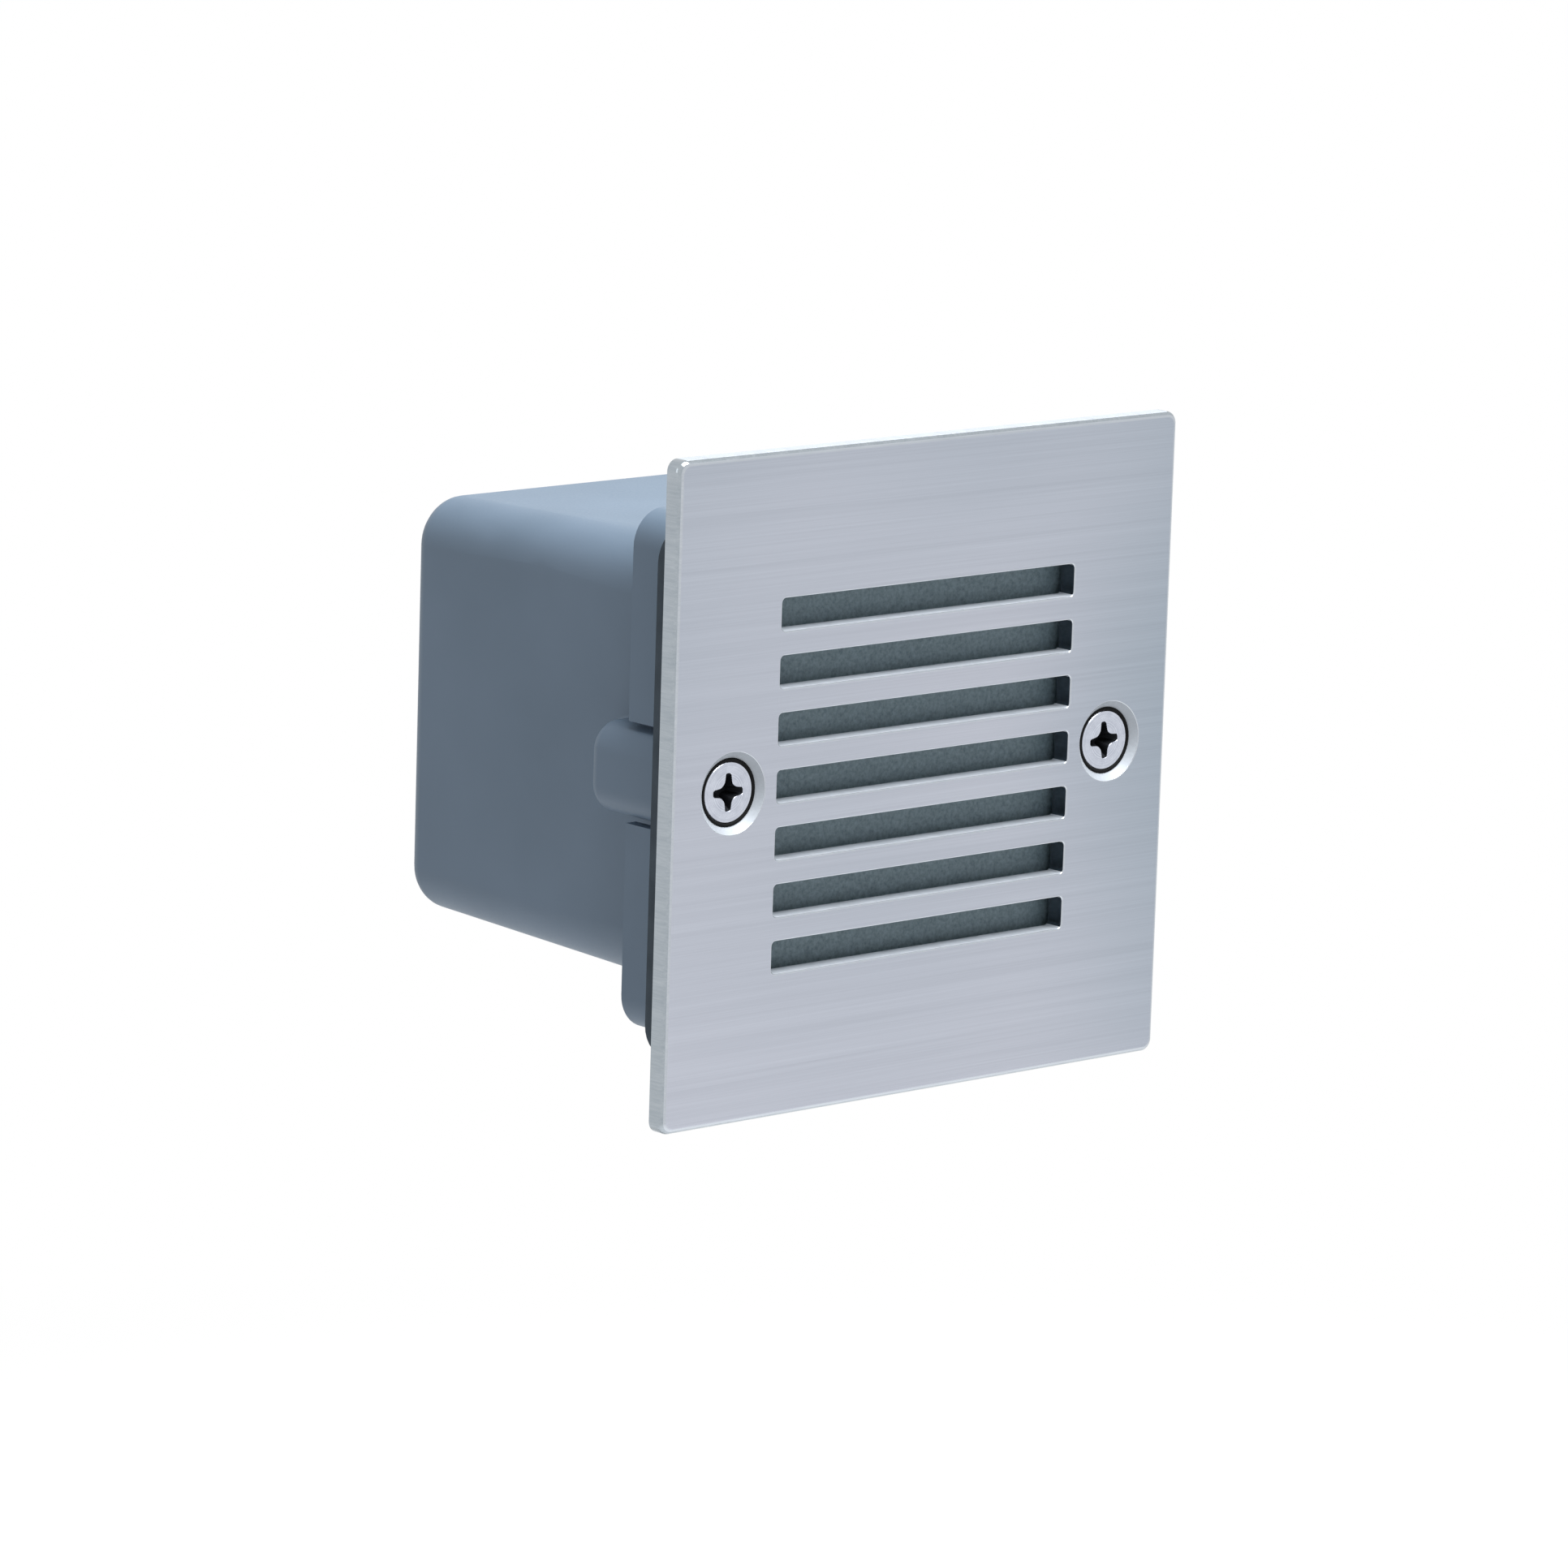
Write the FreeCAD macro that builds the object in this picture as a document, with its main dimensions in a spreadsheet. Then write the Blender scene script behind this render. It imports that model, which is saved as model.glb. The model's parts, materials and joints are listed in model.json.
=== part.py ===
import FreeCAD
import Part
import Sketcher
from FreeCAD import Vector
import math
import os

# Recessed step light: a slotted stainless faceplate over a moulded box that sits in the wall.
# The wall's face is the plane y = 0. The front looks along -Y, +Z is up, X runs along the wall.
# Every depth below is a y coordinate, measured from the wall's face, positive into the wall.

SIZES = (
    # faceplate, gasket and lens
    ("plate_side", 100.0), ("plate_front", -6.0), ("plate_back", -3.0), ("plate_corner", 1.8),
    ("plate_round", 1.0), ("slot_width", 58.8), ("slot_height", 4.9), ("slot_corner", 0.7),
    ("slot_pitch", 8.57), ("screw_place", 38.0), ("sink_hole", 3.3),
    ("sink_depth", 2.9), ("gasket_width", 84.0), ("gasket_height", 74.0), ("gasket_corner", 6.0),
    ("window_width", 61.6), ("window_height", 59.0), ("window_corner", 3.0), ("gasket_hole", 3.4),
    ("lens_width", 66.4), ("lens_height", 63.2), ("lens_corner", 6.5), ("lens_front", -2.0),
    ("lens_back", 2.0), ("lens_break", 0.4), ("seal_back", 3.0), ("seal_rim", 3.2),
    # housing
    ("flange_width", 97.0), ("flange_height", 78.6), ("flange_corner", 5.0), ("flange_front", -2.0),
    ("box_width", 72.06), ("box_height", 68.86), ("box_corner", 9.4), ("box_draft", 2.13),
    ("box_back", 75.0), ("box_round", 3.5), ("wall", 2.0), ("skirt_width", 81.0),
    ("skirt_back", 15.0), ("skirt_corner", 5.5), ("notch_half", 7.7), ("notch_start", 36.8),
    ("boss_half", 7.0), ("boss_out", 42.5), ("boss_in", 34.2), ("boss_corner", 4.5),
    ("boss_back", 22.0), ("boss_round", 2.5), ("rib_thick", 1.5), ("rib_back", 12.0),
    ("rib_near", 12.0), ("rib_far", 25.0), ("ear_x", 44.25), ("ear_z", 30.0), ("ear_hole", 2.1),
    ("ear_sink", 1.6), ("post_x", 27.8), ("post_z", 26.2), ("post_radius", 3.3),
    ("web_thick", 1.4), ("web_x", 33.45), ("web_z", 31.85), ("web_back", 70.0),
    # reflector, light board and gear plate
    ("cone_front_width", 60.0), ("cone_front_height", 57.0), ("cone_draft", 4.0),
    ("cone_corner", 8.0), ("cone_wall", 1.3), ("cone_rim", 5.0), ("gear_front", 19.0),
    ("gear_back", 20.5), ("gear_width", 63.0), ("gear_height", 60.2), ("gear_corner", 5.0),
    ("board_width", 47.0), ("board_height", 44.0), ("board_corner", 2.0), ("board_front", 17.4),
    ("chip_pitch", 10.0), ("chip_width", 2.8), ("chip_height", 3.5), ("chip_front", 16.7),
    ("board_screw_x", 20.0), ("lead_gate", 6.0), ("lead_gate_top", -18.4), ("gate_z", -20.1),
    ("gate_height", 3.4), ("gate_corner", 1.0), ("plug_width", 6.0), ("plug_low", -17.6),
    ("plug_high", -12.0), ("plug_front", 14.2),
    # driver
    ("driver_width", 46.0), ("driver_height", 28.0), ("driver_corner", 2.5), ("driver_wall", 1.5),
    ("driver_back", 38.5), ("lid_back", 40.0), ("driver_ear_x", 29.5), ("driver_ear_half", 5.0),
    ("driver_ear_back", 22.5), ("driver_screw_x", 26.2), ("driver_ear_corner", 3.0),
    ("lid_break", 0.5), ("lid_step", 1.0), ("lid_play", 0.1), ("pcb_front", 24.0),
    ("pcb_back", 25.6), ("pcb_width", 42.0), ("pcb_height", 24.0), ("foot_radius", 1.6),
    ("foot_inset", 2.5), ("core_x", -11.0), ("core_width", 14.0), ("core_height", 16.0),
    ("core_depth", 10.0), ("bobbin_width", 18.0), ("bobbin_height", 10.0), ("bobbin_corner", 2.0),
    ("bobbin_edge", 2.0), ("can_x", 8.0), ("can_radius", 4.0), ("can_depth", 11.0),
    # terminal block
    ("block_width", 24.0), ("block_low", 7.0), ("block_high", 21.0), ("block_front", 56.0),
    ("block_back", 68.0), ("shelf_width", 22.0), ("shelf_low", 8.0), ("shelf_high", 20.0),
    ("block_break", 1.0), ("pole_x", 6.5), ("clamp_side", 4.8), ("clamp_y", 62.0),
    ("clamp_bore", 1.6), ("lug_radius", 1.6), ("terminal_row", 3.6), ("terminal_z", 14.0),
    # fasteners
    ("head_radius", 4.6), ("head_top", -4.95), ("bolt_radius", 2.5), ("bolt_end", 15.05),
    ("cross_span", 5.2), ("cross_width", 1.45), ("cross_tip", 2.4), ("cross_depth", 2.4),
    ("insert_radius", 3.2), ("insert_bore", 2.58), ("insert_front", -1.6), ("insert_back", 10.4),
    ("bolt_break", 0.6), ("washer_top", 0.55), ("washer_low", 2.85), ("washer_lip", 0.3),
    ("small_shank", 1.5), ("small_head", 2.7), ("small_head_height", 2.0), ("pilot", 1.53),
    ("small_slot", 0.7), ("small_slot_depth", 1.0), ("post_hole_depth", 9.0),
    ("block_hole_depth", 4.5), ("board_screw_length", 3.0), ("post_screw_length", 9.0),
    ("driver_screw_length", 3.2), ("block_screw_length", 16.0),
    # leads: y of the two ends, z of the level run between them, radius and bend
    ("mains_y", 30.0), ("mains_z", 26.5), ("mains_radius", 1.0), ("mains_bend", 3.6),
    ("lamp_y", 29.0), ("lamp_x", 1.3), ("lamp_radius", 0.8), ("lamp_bend", 2.0),
    # cable gland in the rear wall
    ("gland_z", -12.0), ("gland_thread", 8.0), ("gland_hole", 8.1), ("gland_flats", 20.0),
    ("gland_bore", 5.0), ("gland_in", 66.0), ("washer_back", 76.2), ("hex_back", 81.2),
    ("spigot_back", 89.2), ("spigot_radius", 7.6), ("cup_radius", 6.2), ("cup_front", 83.0),
    ("locknut_front", 68.6), ("seal_end", 90.4), ("cable_radius", 3.5), ("ring_back", 91.3),
    ("nut_front", 82.2), ("nut_hex_back", 88.0), ("nut_back", 93.6), ("nut_mouth", 4.6),
)


def fill_sheet(doc):
    """Driving sizes, one alias to a row."""
    sheet = doc.addObject("Spreadsheet::Sheet", "dim")
    for row, (alias, value) in enumerate(SIZES, start=1):
        sheet.set(f"A{row}", alias)
        sheet.set(f"B{row}", str(value))
        sheet.setAlias(f"B{row}", alias)
    doc.recompute()
    return sheet


def number(owner, expression):
    """Present value of an expression, for the first guess of a bound size."""
    value = owner.evalExpression(expression)
    return float(getattr(value, "Value", value))


def new_body(doc, label):
    body = doc.addObject("PartDesign::Body", label)
    body.Label = label
    return body


def flat_sketch(body, name, role="XZ_Plane", offset="0", turn="0"):
    """Sketch on an origin plane; offset moves it along the plane's normal, turn spins it."""
    sketch = body.newObject("Sketcher::SketchObject", name)
    plane = [item for item in body.Origin.OriginFeatures if item.Role == role][0]
    sketch.AttachmentSupport = [(plane, "")]
    sketch.MapMode = "FlatFace"
    sketch.setExpression(".AttachmentOffset.Base.z", offset)
    sketch.AttachmentOffset.Rotation = FreeCAD.Rotation(Vector(0, 0, 1), number(sketch, turn))
    return sketch


def front_sketch(body, name, depth, turn="0"):
    """Sketch seen from the front, x to the right and z up, at the y given by depth."""
    return flat_sketch(body, name, "XZ_Plane", f"-({depth})", turn)


def bind(sketch, kind, places, expression):
    """A driving constraint of the sketch, bound to an expression."""
    value = number(sketch, expression)
    index = sketch.addConstraint(Sketcher.Constraint(kind, *places, value))
    sketch.setExpression(f"Constraints[{index}]", expression)


def pin(sketch, geometry, point, across, up):
    """Holds a point of the geometry at a distance from the sketch's origin, each way."""
    bind(sketch, "DistanceX", (-1, 1, geometry, point), across)
    bind(sketch, "DistanceY", (-1, 1, geometry, point), up)


def add_circle(sketch, radius, across="0", up="0"):
    centre = Vector(number(sketch, across), number(sketch, up), 0)
    circle = Part.Circle(centre, Vector(0, 0, 1), number(sketch, radius))
    geometry = sketch.addGeometry(circle, False)
    pin(sketch, geometry, 3, across, up)
    bind(sketch, "Radius", (geometry,), radius)


def add_polygon(sketch, corners):
    """Closed outline through corners, each an (across, up) pair of expressions."""
    first = sketch.GeometryCount
    points = [Vector(number(sketch, across), number(sketch, up), 0) for across, up in corners]
    following = points[1:] + points[:1]
    for start, end in zip(points, following):
        sketch.addGeometry(Part.LineSegment(start, end), False)
    for index, (across, up) in enumerate(corners):
        after = (index + 1) % len(corners)
        sketch.addConstraint(Sketcher.Constraint("Coincident", first + index, 2, first + after, 1))
        pin(sketch, first + index, 1, across, up)


def add_box(sketch, left, right, low, high):
    add_polygon(sketch, ((left, low), (right, low), (right, high), (left, high)))


def add_middle_box(sketch, width, height, across="0", up="0"):
    """Rectangle about the place (across, up)."""
    half_w, half_h = f"({width}) / 2", f"({height}) / 2"
    add_box(sketch, f"{across} - {half_w}", f"{across} + {half_w}", f"{up} - {half_h}",
            f"{up} + {half_h}")


def add_hexagon(sketch, flats):
    """Regular hexagon about the origin, with its width across flats along z."""
    corner = f"({flats}) / 2 / cos(30)"
    add_polygon(sketch, [(f"{corner} * cos({60 * step})", f"{corner} * sin({60 * step})")
                         for step in range(6)])


def add_rounded(sketch, width, height, corner, across="0", up="0"):
    """Rounded rectangle: four equal arcs, anticlockwise from lower right, joined by four lines."""
    half_w, half_h = number(sketch, f"({width}) / 2"), number(sketch, f"({height}) / 2")
    middle = Vector(number(sketch, across), number(sketch, up), 0)
    radius = number(sketch, corner)
    first = sketch.GeometryCount
    for side, (way_x, way_z) in enumerate(((1, -1), (1, 1), (-1, 1), (-1, -1))):
        centre = middle + Vector(way_x * (half_w - radius), way_z * (half_h - radius), 0)
        start = math.radians(90 * (side - 1))
        circle = Part.Circle(centre, Vector(0, 0, 1), radius)
        sketch.addGeometry(Part.ArcOfCircle(circle, start, start + math.pi / 2), False)
    for side in range(4):
        start = sketch.getPoint(first + side, 2)
        end = sketch.getPoint(first + (side + 1) % 4, 1)
        sketch.addGeometry(Part.LineSegment(start, end), False)
    for side in range(4):
        arc, line, after = first + side, first + 4 + side, first + (side + 1) % 4
        sketch.addConstraint(Sketcher.Constraint("Tangent", arc, 2, line, 1))
        sketch.addConstraint(Sketcher.Constraint("Tangent", line, 2, after, 1))
        sketch.addConstraint(Sketcher.Constraint(("Vertical", "Horizontal")[side % 2], line))
    for side in range(1, 4):
        sketch.addConstraint(Sketcher.Constraint("Equal", first, first + side))
    right, top, left, low = (first + 4 + side for side in range(4))
    bind(sketch, "DistanceX", (-1, 1, right, 1), f"{across} + ({width}) / 2")
    bind(sketch, "DistanceY", (-1, 1, top, 1), f"{up} + ({height}) / 2")
    bind(sketch, "DistanceX", (-1, 1, left, 1), f"{across} - ({width}) / 2")
    bind(sketch, "DistanceY", (-1, 1, low, 1), f"{up} - ({height}) / 2")
    bind(sketch, "Radius", (first,), corner)


def pad(body, sketch, length, taper="0"):
    """Grows the outline into the wall, towards +Y; a negative taper narrows it on the way."""
    feature = body.newObject("PartDesign::Pad", f"{sketch.Name}_pad")
    feature.Profile = sketch
    feature.Reversed = True
    feature.setExpression("Length", length)
    feature.setExpression("TaperAngle", taper)
    body.Document.recompute()
    return feature


def pocket(body, sketch, length, taper="0"):
    """Cuts the outline out towards +Y, and stops the build if nothing was cut."""
    before = body.Shape.Volume
    feature = body.newObject("PartDesign::Pocket", f"{sketch.Name}_pocket")
    feature.Profile = sketch
    feature.setExpression("Length", length)
    feature.setExpression("TaperAngle", taper)
    body.Document.recompute()
    if feature.Shape.Volume > before - 0.01:
        raise RuntimeError(f"{feature.Name} cut nothing")
    return feature


def slab(body, name, start, end, outlines, taper="0"):
    """Prism from y = start to y = end; outlines is a list of (function, arguments)."""
    sketch = front_sketch(body, name, start)
    for draw, arguments in outlines:
        draw(sketch, *arguments)
    return pad(body, sketch, f"({end}) - ({start})", taper)


def cut(body, name, start, end, outlines, taper="0"):
    """The same prism taken away."""
    sketch = front_sketch(body, name, start)
    for draw, arguments in outlines:
        draw(sketch, *arguments)
    return pocket(body, sketch, f"({end}) - ({start})", taper)


def turned(body, name, corners, groove=False):
    """Ring or peg turned about the body's own Y axis; corners are (radius, y) pairs."""
    sketch = flat_sketch(body, name, "XY_Plane")
    add_polygon(sketch, corners)
    kind = "Groove" if groove else "Revolution"
    feature = body.newObject(f"PartDesign::{kind}", f"{name}_{kind.lower()}")
    feature.Profile = sketch
    feature.ReferenceAxis = (sketch, ["V_Axis"])
    feature.Angle = 360
    body.Document.recompute()
    return feature


def edge_middle(edge):
    return edge.valueAt((edge.FirstParameter + edge.LastParameter) / 2)


def edges_where(feature, test):
    """Names of the feature's edges whose middle and two ends all pass the test."""
    names = []
    for index, edge in enumerate(feature.Shape.Edges, start=1):
        spots = [edge_middle(edge)] + [vertex.Point for vertex in edge.Vertexes]
        if all(test(spot) for spot in spots):
            names.append(f"Edge{index}")
    if not names:
        raise RuntimeError(f"{feature.Name} has no such edge")
    return names


def dress(body, kind, feature, test, size):
    """Fillet or Chamfer along the edges that pass the test."""
    dressed = body.newObject(f"PartDesign::{kind}", f"{feature.Name}_{kind.lower()}")
    dressed.Base = (feature, edges_where(feature, test))
    dressed.setExpression("Radius" if kind == "Fillet" else "Size", size)
    body.Document.recompute()
    return dressed


def near(value, wanted):
    return abs(value - wanted) < 0.01


def both_ways(expression):
    return (expression, f"-({expression})")


def four_corners(across, up):
    """The four (across, up) places about the middle."""
    return [(x, z) for x in both_ways(across) for z in both_ways(up)]


def circles(radius, places):
    return [(add_circle, (radius, across, up)) for across, up in places]


# ---------------------------------------------------------------- front of the light

def make_faceplate(doc, dim):
    """Square plate with rounded front edges, seven level slots and two countersunk holes."""
    body = new_body(doc, "faceplate")
    plate = slab(body, "plate_plan", "dim.plate_front", "dim.plate_back",
                 [(add_rounded, ("dim.plate_side", "dim.plate_side", "dim.plate_corner"))])
    dress(body, "Fillet", plate, lambda spot: near(spot.y, dim.plate_front), "dim.plate_round")
    slot_ends = [(add_rounded, ("dim.slot_width", "dim.slot_height", "dim.slot_corner",
                                "0", "-3 * dim.slot_pitch"))]
    slot = cut(body, "slot_plan", "dim.plate_front", "dim.plate_back + 1", slot_ends)
    row = body.newObject("PartDesign::LinearPattern", "slot_row")
    row.Originals = [slot]
    row.Direction = (body.getObject("slot_plan"), ["V_Axis"])
    row.setExpression("Length", "6 * dim.slot_pitch")
    row.Occurrences = 7
    body.Tip = row
    doc.recompute()
    holes = cut(body, "screw_holes", "dim.plate_front", "dim.plate_back + 1",
                circles("dim.sink_hole", [(x, "0") for x in both_ways("dim.screw_place")]))
    dress(body, "Chamfer", holes, lambda spot: near(spot.y, dim.plate_front)
          and abs(abs(spot.x) - dim.screw_place) < dim.sink_hole + 0.1
          and abs(spot.z) < dim.sink_hole + 0.1, "dim.sink_depth")


def make_gasket(doc):
    """Foam ring pressed between plate, flange and lens."""
    body = new_body(doc, "faceplate_gasket")
    slab(body, "gasket_plan", "dim.plate_back", "dim.flange_front",
         [(add_rounded, ("dim.gasket_width", "dim.gasket_height", "dim.gasket_corner")),
          (add_rounded, ("dim.window_width", "dim.window_height", "dim.window_corner"))]
         + circles("dim.gasket_hole", [(x, "0") for x in both_ways("dim.screw_place")]))


def make_lens(doc, dim):
    """Frosted glass pane with broken edges."""
    body = new_body(doc, "lens")
    pane = slab(body, "lens_plan", "dim.lens_front", "dim.lens_back",
                [(add_rounded, ("dim.lens_width", "dim.lens_height", "dim.lens_corner"))])
    dress(body, "Chamfer", pane, lambda spot: near(spot.y, dim.lens_front)
          or near(spot.y, dim.lens_back), "dim.lens_break")


def make_lens_seal(doc):
    """Silicone ring behind the lens."""
    body = new_body(doc, "lens_seal")
    slab(body, "seal_plan", "dim.lens_back", "dim.seal_back",
         [(add_rounded, ("dim.lens_width", "dim.lens_height", "dim.lens_corner")),
          (add_rounded, ("dim.lens_width - 2 * dim.seal_rim",
                         "dim.lens_height - 2 * dim.seal_rim", "dim.lens_corner - dim.seal_rim"))])


def make_screw_washer(doc, side, place):
    """Thin conical washer between a screw's head and the countersink."""
    body = new_body(doc, f"screw_washer_{side}")
    plane = "dim.plate_front"
    outer = "dim.sink_hole + dim.sink_depth - 0.05"
    inner = "dim.head_radius + dim.head_top - dim.plate_front + 0.05"
    top, bottom = "dim.washer_top", "dim.washer_low"
    turned(body, "washer_section",
           ((f"{outer} - {top}", f"{plane} + {top}"),
            (f"{outer} - {bottom}", f"{plane} + {bottom}"),
            (f"{inner} - {bottom}", f"{plane} + {bottom}"),
            (f"{inner} - {top} - dim.washer_lip", f"{plane} + {top} + dim.washer_lip")))
    body.setExpression("Placement.Base.x", place)


def make_faceplate_screw(doc, side, place, turn):
    """Countersunk machine screw with a tapered cross recess."""
    body = new_body(doc, f"faceplate_screw_{side}")
    neck = "dim.head_top + dim.head_radius - dim.bolt_radius"
    turned(body, "screw_section",
           (("0", "dim.head_top"), ("dim.head_radius", "dim.head_top"), ("dim.bolt_radius", neck),
            ("dim.bolt_radius", "dim.bolt_end - dim.bolt_break"),
            ("dim.bolt_radius - dim.bolt_break", "dim.bolt_end"), ("0", "dim.bolt_end")))
    for count, wing in enumerate((turn, turn + 90)):
        mouth = front_sketch(body, f"recess_mouth_{count}", "dim.head_top", str(wing))
        add_middle_box(mouth, "dim.cross_span", "dim.cross_width")
        floor = front_sketch(body, f"recess_floor_{count}", "dim.head_top + dim.cross_depth", str(wing))
        add_middle_box(floor, "dim.cross_tip", "dim.cross_width * 0.7")
        recess = body.newObject("PartDesign::SubtractiveLoft", f"recess_{count}")
        recess.Profile = mouth
        recess.Sections = [floor]
        recess.Ruled = True
        doc.recompute()
    body.setExpression("Placement.Base.x", place)


# ---------------------------------------------------------------- moulded housing

def add_box_shell(body, dim):
    """Drafted box with a rounded rear edge, the flange and the ring of the skirt."""
    angle = "-atan(dim.box_draft / dim.box_back)"
    box = slab(body, "box_plan", "0", "dim.box_back",
               [(add_rounded, ("dim.box_width", "dim.box_height", "dim.box_corner"))], angle)
    dress(body, "Fillet", box, lambda spot: near(spot.y, dim.box_back), "dim.box_round")
    slab(body, "flange_plan", "dim.flange_front", "0",
         [(add_rounded, ("dim.flange_width", "dim.flange_height", "dim.flange_corner"))])
    slab(body, "skirt_plan", "-dim.wall / 2", "dim.skirt_back",
         [(add_rounded, ("dim.skirt_width", "dim.flange_height", "dim.skirt_corner")),
          (add_rounded, ("dim.skirt_width - 2 * dim.wall", "dim.flange_height - 2 * dim.wall",
                         "dim.skirt_corner - dim.wall"))])
    cut(body, "notch_plan", "0", "dim.skirt_back + 1",
        [(add_box, (*sides, "-dim.notch_half", "dim.notch_half"))
         for sides in (("dim.notch_start", "dim.skirt_width"),
                       ("-dim.skirt_width", "-dim.notch_start"))])


def add_bosses(body, dim):
    """Rounded screw bosses at mid height, one in each notch of the skirt."""
    width = "dim.boss_out - dim.boss_in"
    middle = "(dim.boss_out + dim.boss_in) / 2"
    inner = "dim.boss_corner"
    bosses = slab(body, "boss_plan", "-dim.wall / 2", "dim.boss_back",
                  [(add_rounded, (f"{width} + {inner}", "2 * dim.boss_half", "dim.boss_corner",
                                  f"{way}({middle} - {inner} / 2)")) for way in ("", "-")])
    dress(body, "Fillet", bosses, lambda spot: near(spot.y, dim.boss_back)
          and abs(spot.x) > 34.5, "dim.boss_round")


def add_ribs(body):
    """Thin ribs that tie the skirt to the box, upright above and below, level at the sides."""
    half_w, half_h = "dim.skirt_width / 2 - dim.wall / 2", "dim.flange_height / 2 - dim.wall / 2"
    thick = "dim.rib_thick / 2"
    upright = [(add_box, (f"{x} - {thick}", f"{x} + {thick}", f"-({half_h})", half_h))
               for x in both_ways("dim.rib_near") + both_ways("dim.rib_far")]
    slab(body, "upright_ribs", "-dim.wall / 2", "dim.rib_back", upright)
    level = [(add_box, (f"-({half_w})", half_w, f"{z} - {thick}", f"{z} + {thick}"))
             for z in both_ways("dim.rib_near") + both_ways("dim.rib_far")]
    slab(body, "level_ribs", "-dim.wall / 2", "dim.rib_back", level)


def hollow_box(body):
    """Drafted hollow, open at the front, and the holes through the walls."""
    angle = "-atan(dim.box_draft / dim.box_back)"
    cut(body, "hollow_plan", "dim.flange_front", "dim.box_back - dim.wall",
        [(add_rounded, ("dim.box_width - 2 * dim.wall", "dim.box_height - 2 * dim.wall",
                        "dim.box_corner - dim.wall"))], angle)


def add_posts(body):
    """Four screw posts in the corners, webbed to the walls, and the terminal block's shelf."""
    floor = "dim.box_back - dim.wall / 2"
    slab(body, "post_plan", "dim.gear_back", floor,
         circles("dim.post_radius", four_corners("dim.post_x", "dim.post_z")))
    thick = "dim.web_thick / 2"
    side_webs = [(add_box, (*span, f"{z} - {thick}", f"{z} + {thick}"))
                 for span in (("dim.post_x", "dim.web_x"), ("-dim.web_x", "-dim.post_x"))
                 for z in both_ways("dim.post_z")]
    slab(body, "side_webs", "dim.gear_back", "dim.web_back", side_webs)
    level_webs = [(add_box, (f"{x} - {thick}", f"{x} + {thick}", *span))
                  for span in (("dim.post_z", "dim.web_z"), ("-dim.web_z", "-dim.post_z"))
                  for x in both_ways("dim.post_x")]
    slab(body, "upright_webs", "dim.gear_back", "dim.web_back", level_webs)
    slab(body, "shelf_plan", "dim.block_back", floor,
         [(add_box, ("-dim.shelf_width / 2", "dim.shelf_width / 2", "dim.shelf_low",
                     "dim.shelf_high"))])


def drill_housing(body, dim):
    """Holes for the insert, plate screws, wall screws, post screws, block screw and gland."""
    sides = [(x, "0") for x in both_ways("dim.screw_place")]
    cut(body, "insert_holes", "dim.flange_front", "dim.insert_back",
        circles("dim.insert_radius", sides))
    cut(body, "bolt_holes", "dim.insert_back", "dim.boss_back - dim.wall * 2",
        circles("dim.bolt_radius + 0.3", sides))
    cut(body, "post_holes", "dim.gear_back", "dim.gear_back + dim.post_hole_depth",
        circles("dim.pilot", four_corners("dim.post_x", "dim.post_z")))
    cut(body, "block_hole", "dim.block_back", "dim.block_back + dim.block_hole_depth",
        circles("dim.pilot", [("0", "dim.terminal_z")]))
    cut(body, "gland_hole", "dim.box_back - dim.wall - 1", "dim.box_back + 1",
        circles("dim.gland_hole", [("0", "dim.gland_z")]))
    ears = cut(body, "ear_holes", "dim.flange_front", "1",
               circles("dim.ear_hole", four_corners("dim.ear_x", "dim.ear_z")))
    dress(body, "Chamfer", ears, lambda spot: near(spot.y, dim.flange_front)
          and abs(abs(spot.x) - dim.ear_x) < dim.ear_hole + 0.1
          and abs(abs(spot.z) - dim.ear_z) < dim.ear_hole + 0.1, "dim.ear_sink")


def make_housing(doc, dim):
    """One moulding: box, flange, skirt, ribs, bosses, posts and holes."""
    body = new_body(doc, "housing")
    add_box_shell(body, dim)
    add_bosses(body, dim)
    add_ribs(body)
    hollow_box(body)
    add_posts(body)
    drill_housing(body, dim)


def make_inserts(doc):
    """Brass threaded sleeves, one in each boss."""
    body = new_body(doc, "screw_inserts")
    sides = [(x, "0") for x in both_ways("dim.screw_place")]
    slab(body, "sleeve_plan", "dim.insert_front", "dim.insert_back",
         circles("dim.insert_radius", sides) + circles("dim.insert_bore", sides))


# ---------------------------------------------------------------- light source and gear plate

def make_reflector(doc):
    """White frame: a flat rim under the seal and a tapered cone down to the gear plate."""
    body = new_body(doc, "reflector")
    slab(body, "rim_plan", "dim.seal_back", "dim.cone_rim",
         [(add_rounded, ("dim.lens_width", "dim.lens_height", "dim.lens_corner"))])
    depth = "dim.gear_front - dim.cone_rim"
    angle = f"-atan(dim.cone_draft / ({depth}))"
    slab(body, "cone_plan", "dim.cone_rim", "dim.gear_front",
         [(add_rounded, ("dim.cone_front_width", "dim.cone_front_height", "dim.cone_corner"))],
         angle)
    run = "dim.cone_draft * (dim.cone_rim - dim.seal_back) / (dim.gear_front - dim.cone_rim)"
    grow = f"2 * ({run} - dim.cone_wall)"
    cut(body, "cone_hollow", "dim.seal_back", "dim.gear_front + 1",
        [(add_rounded, (f"dim.cone_front_width + {grow}", f"dim.cone_front_height + {grow}",
                        f"dim.cone_corner + {run} - dim.cone_wall"))], angle)


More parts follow.
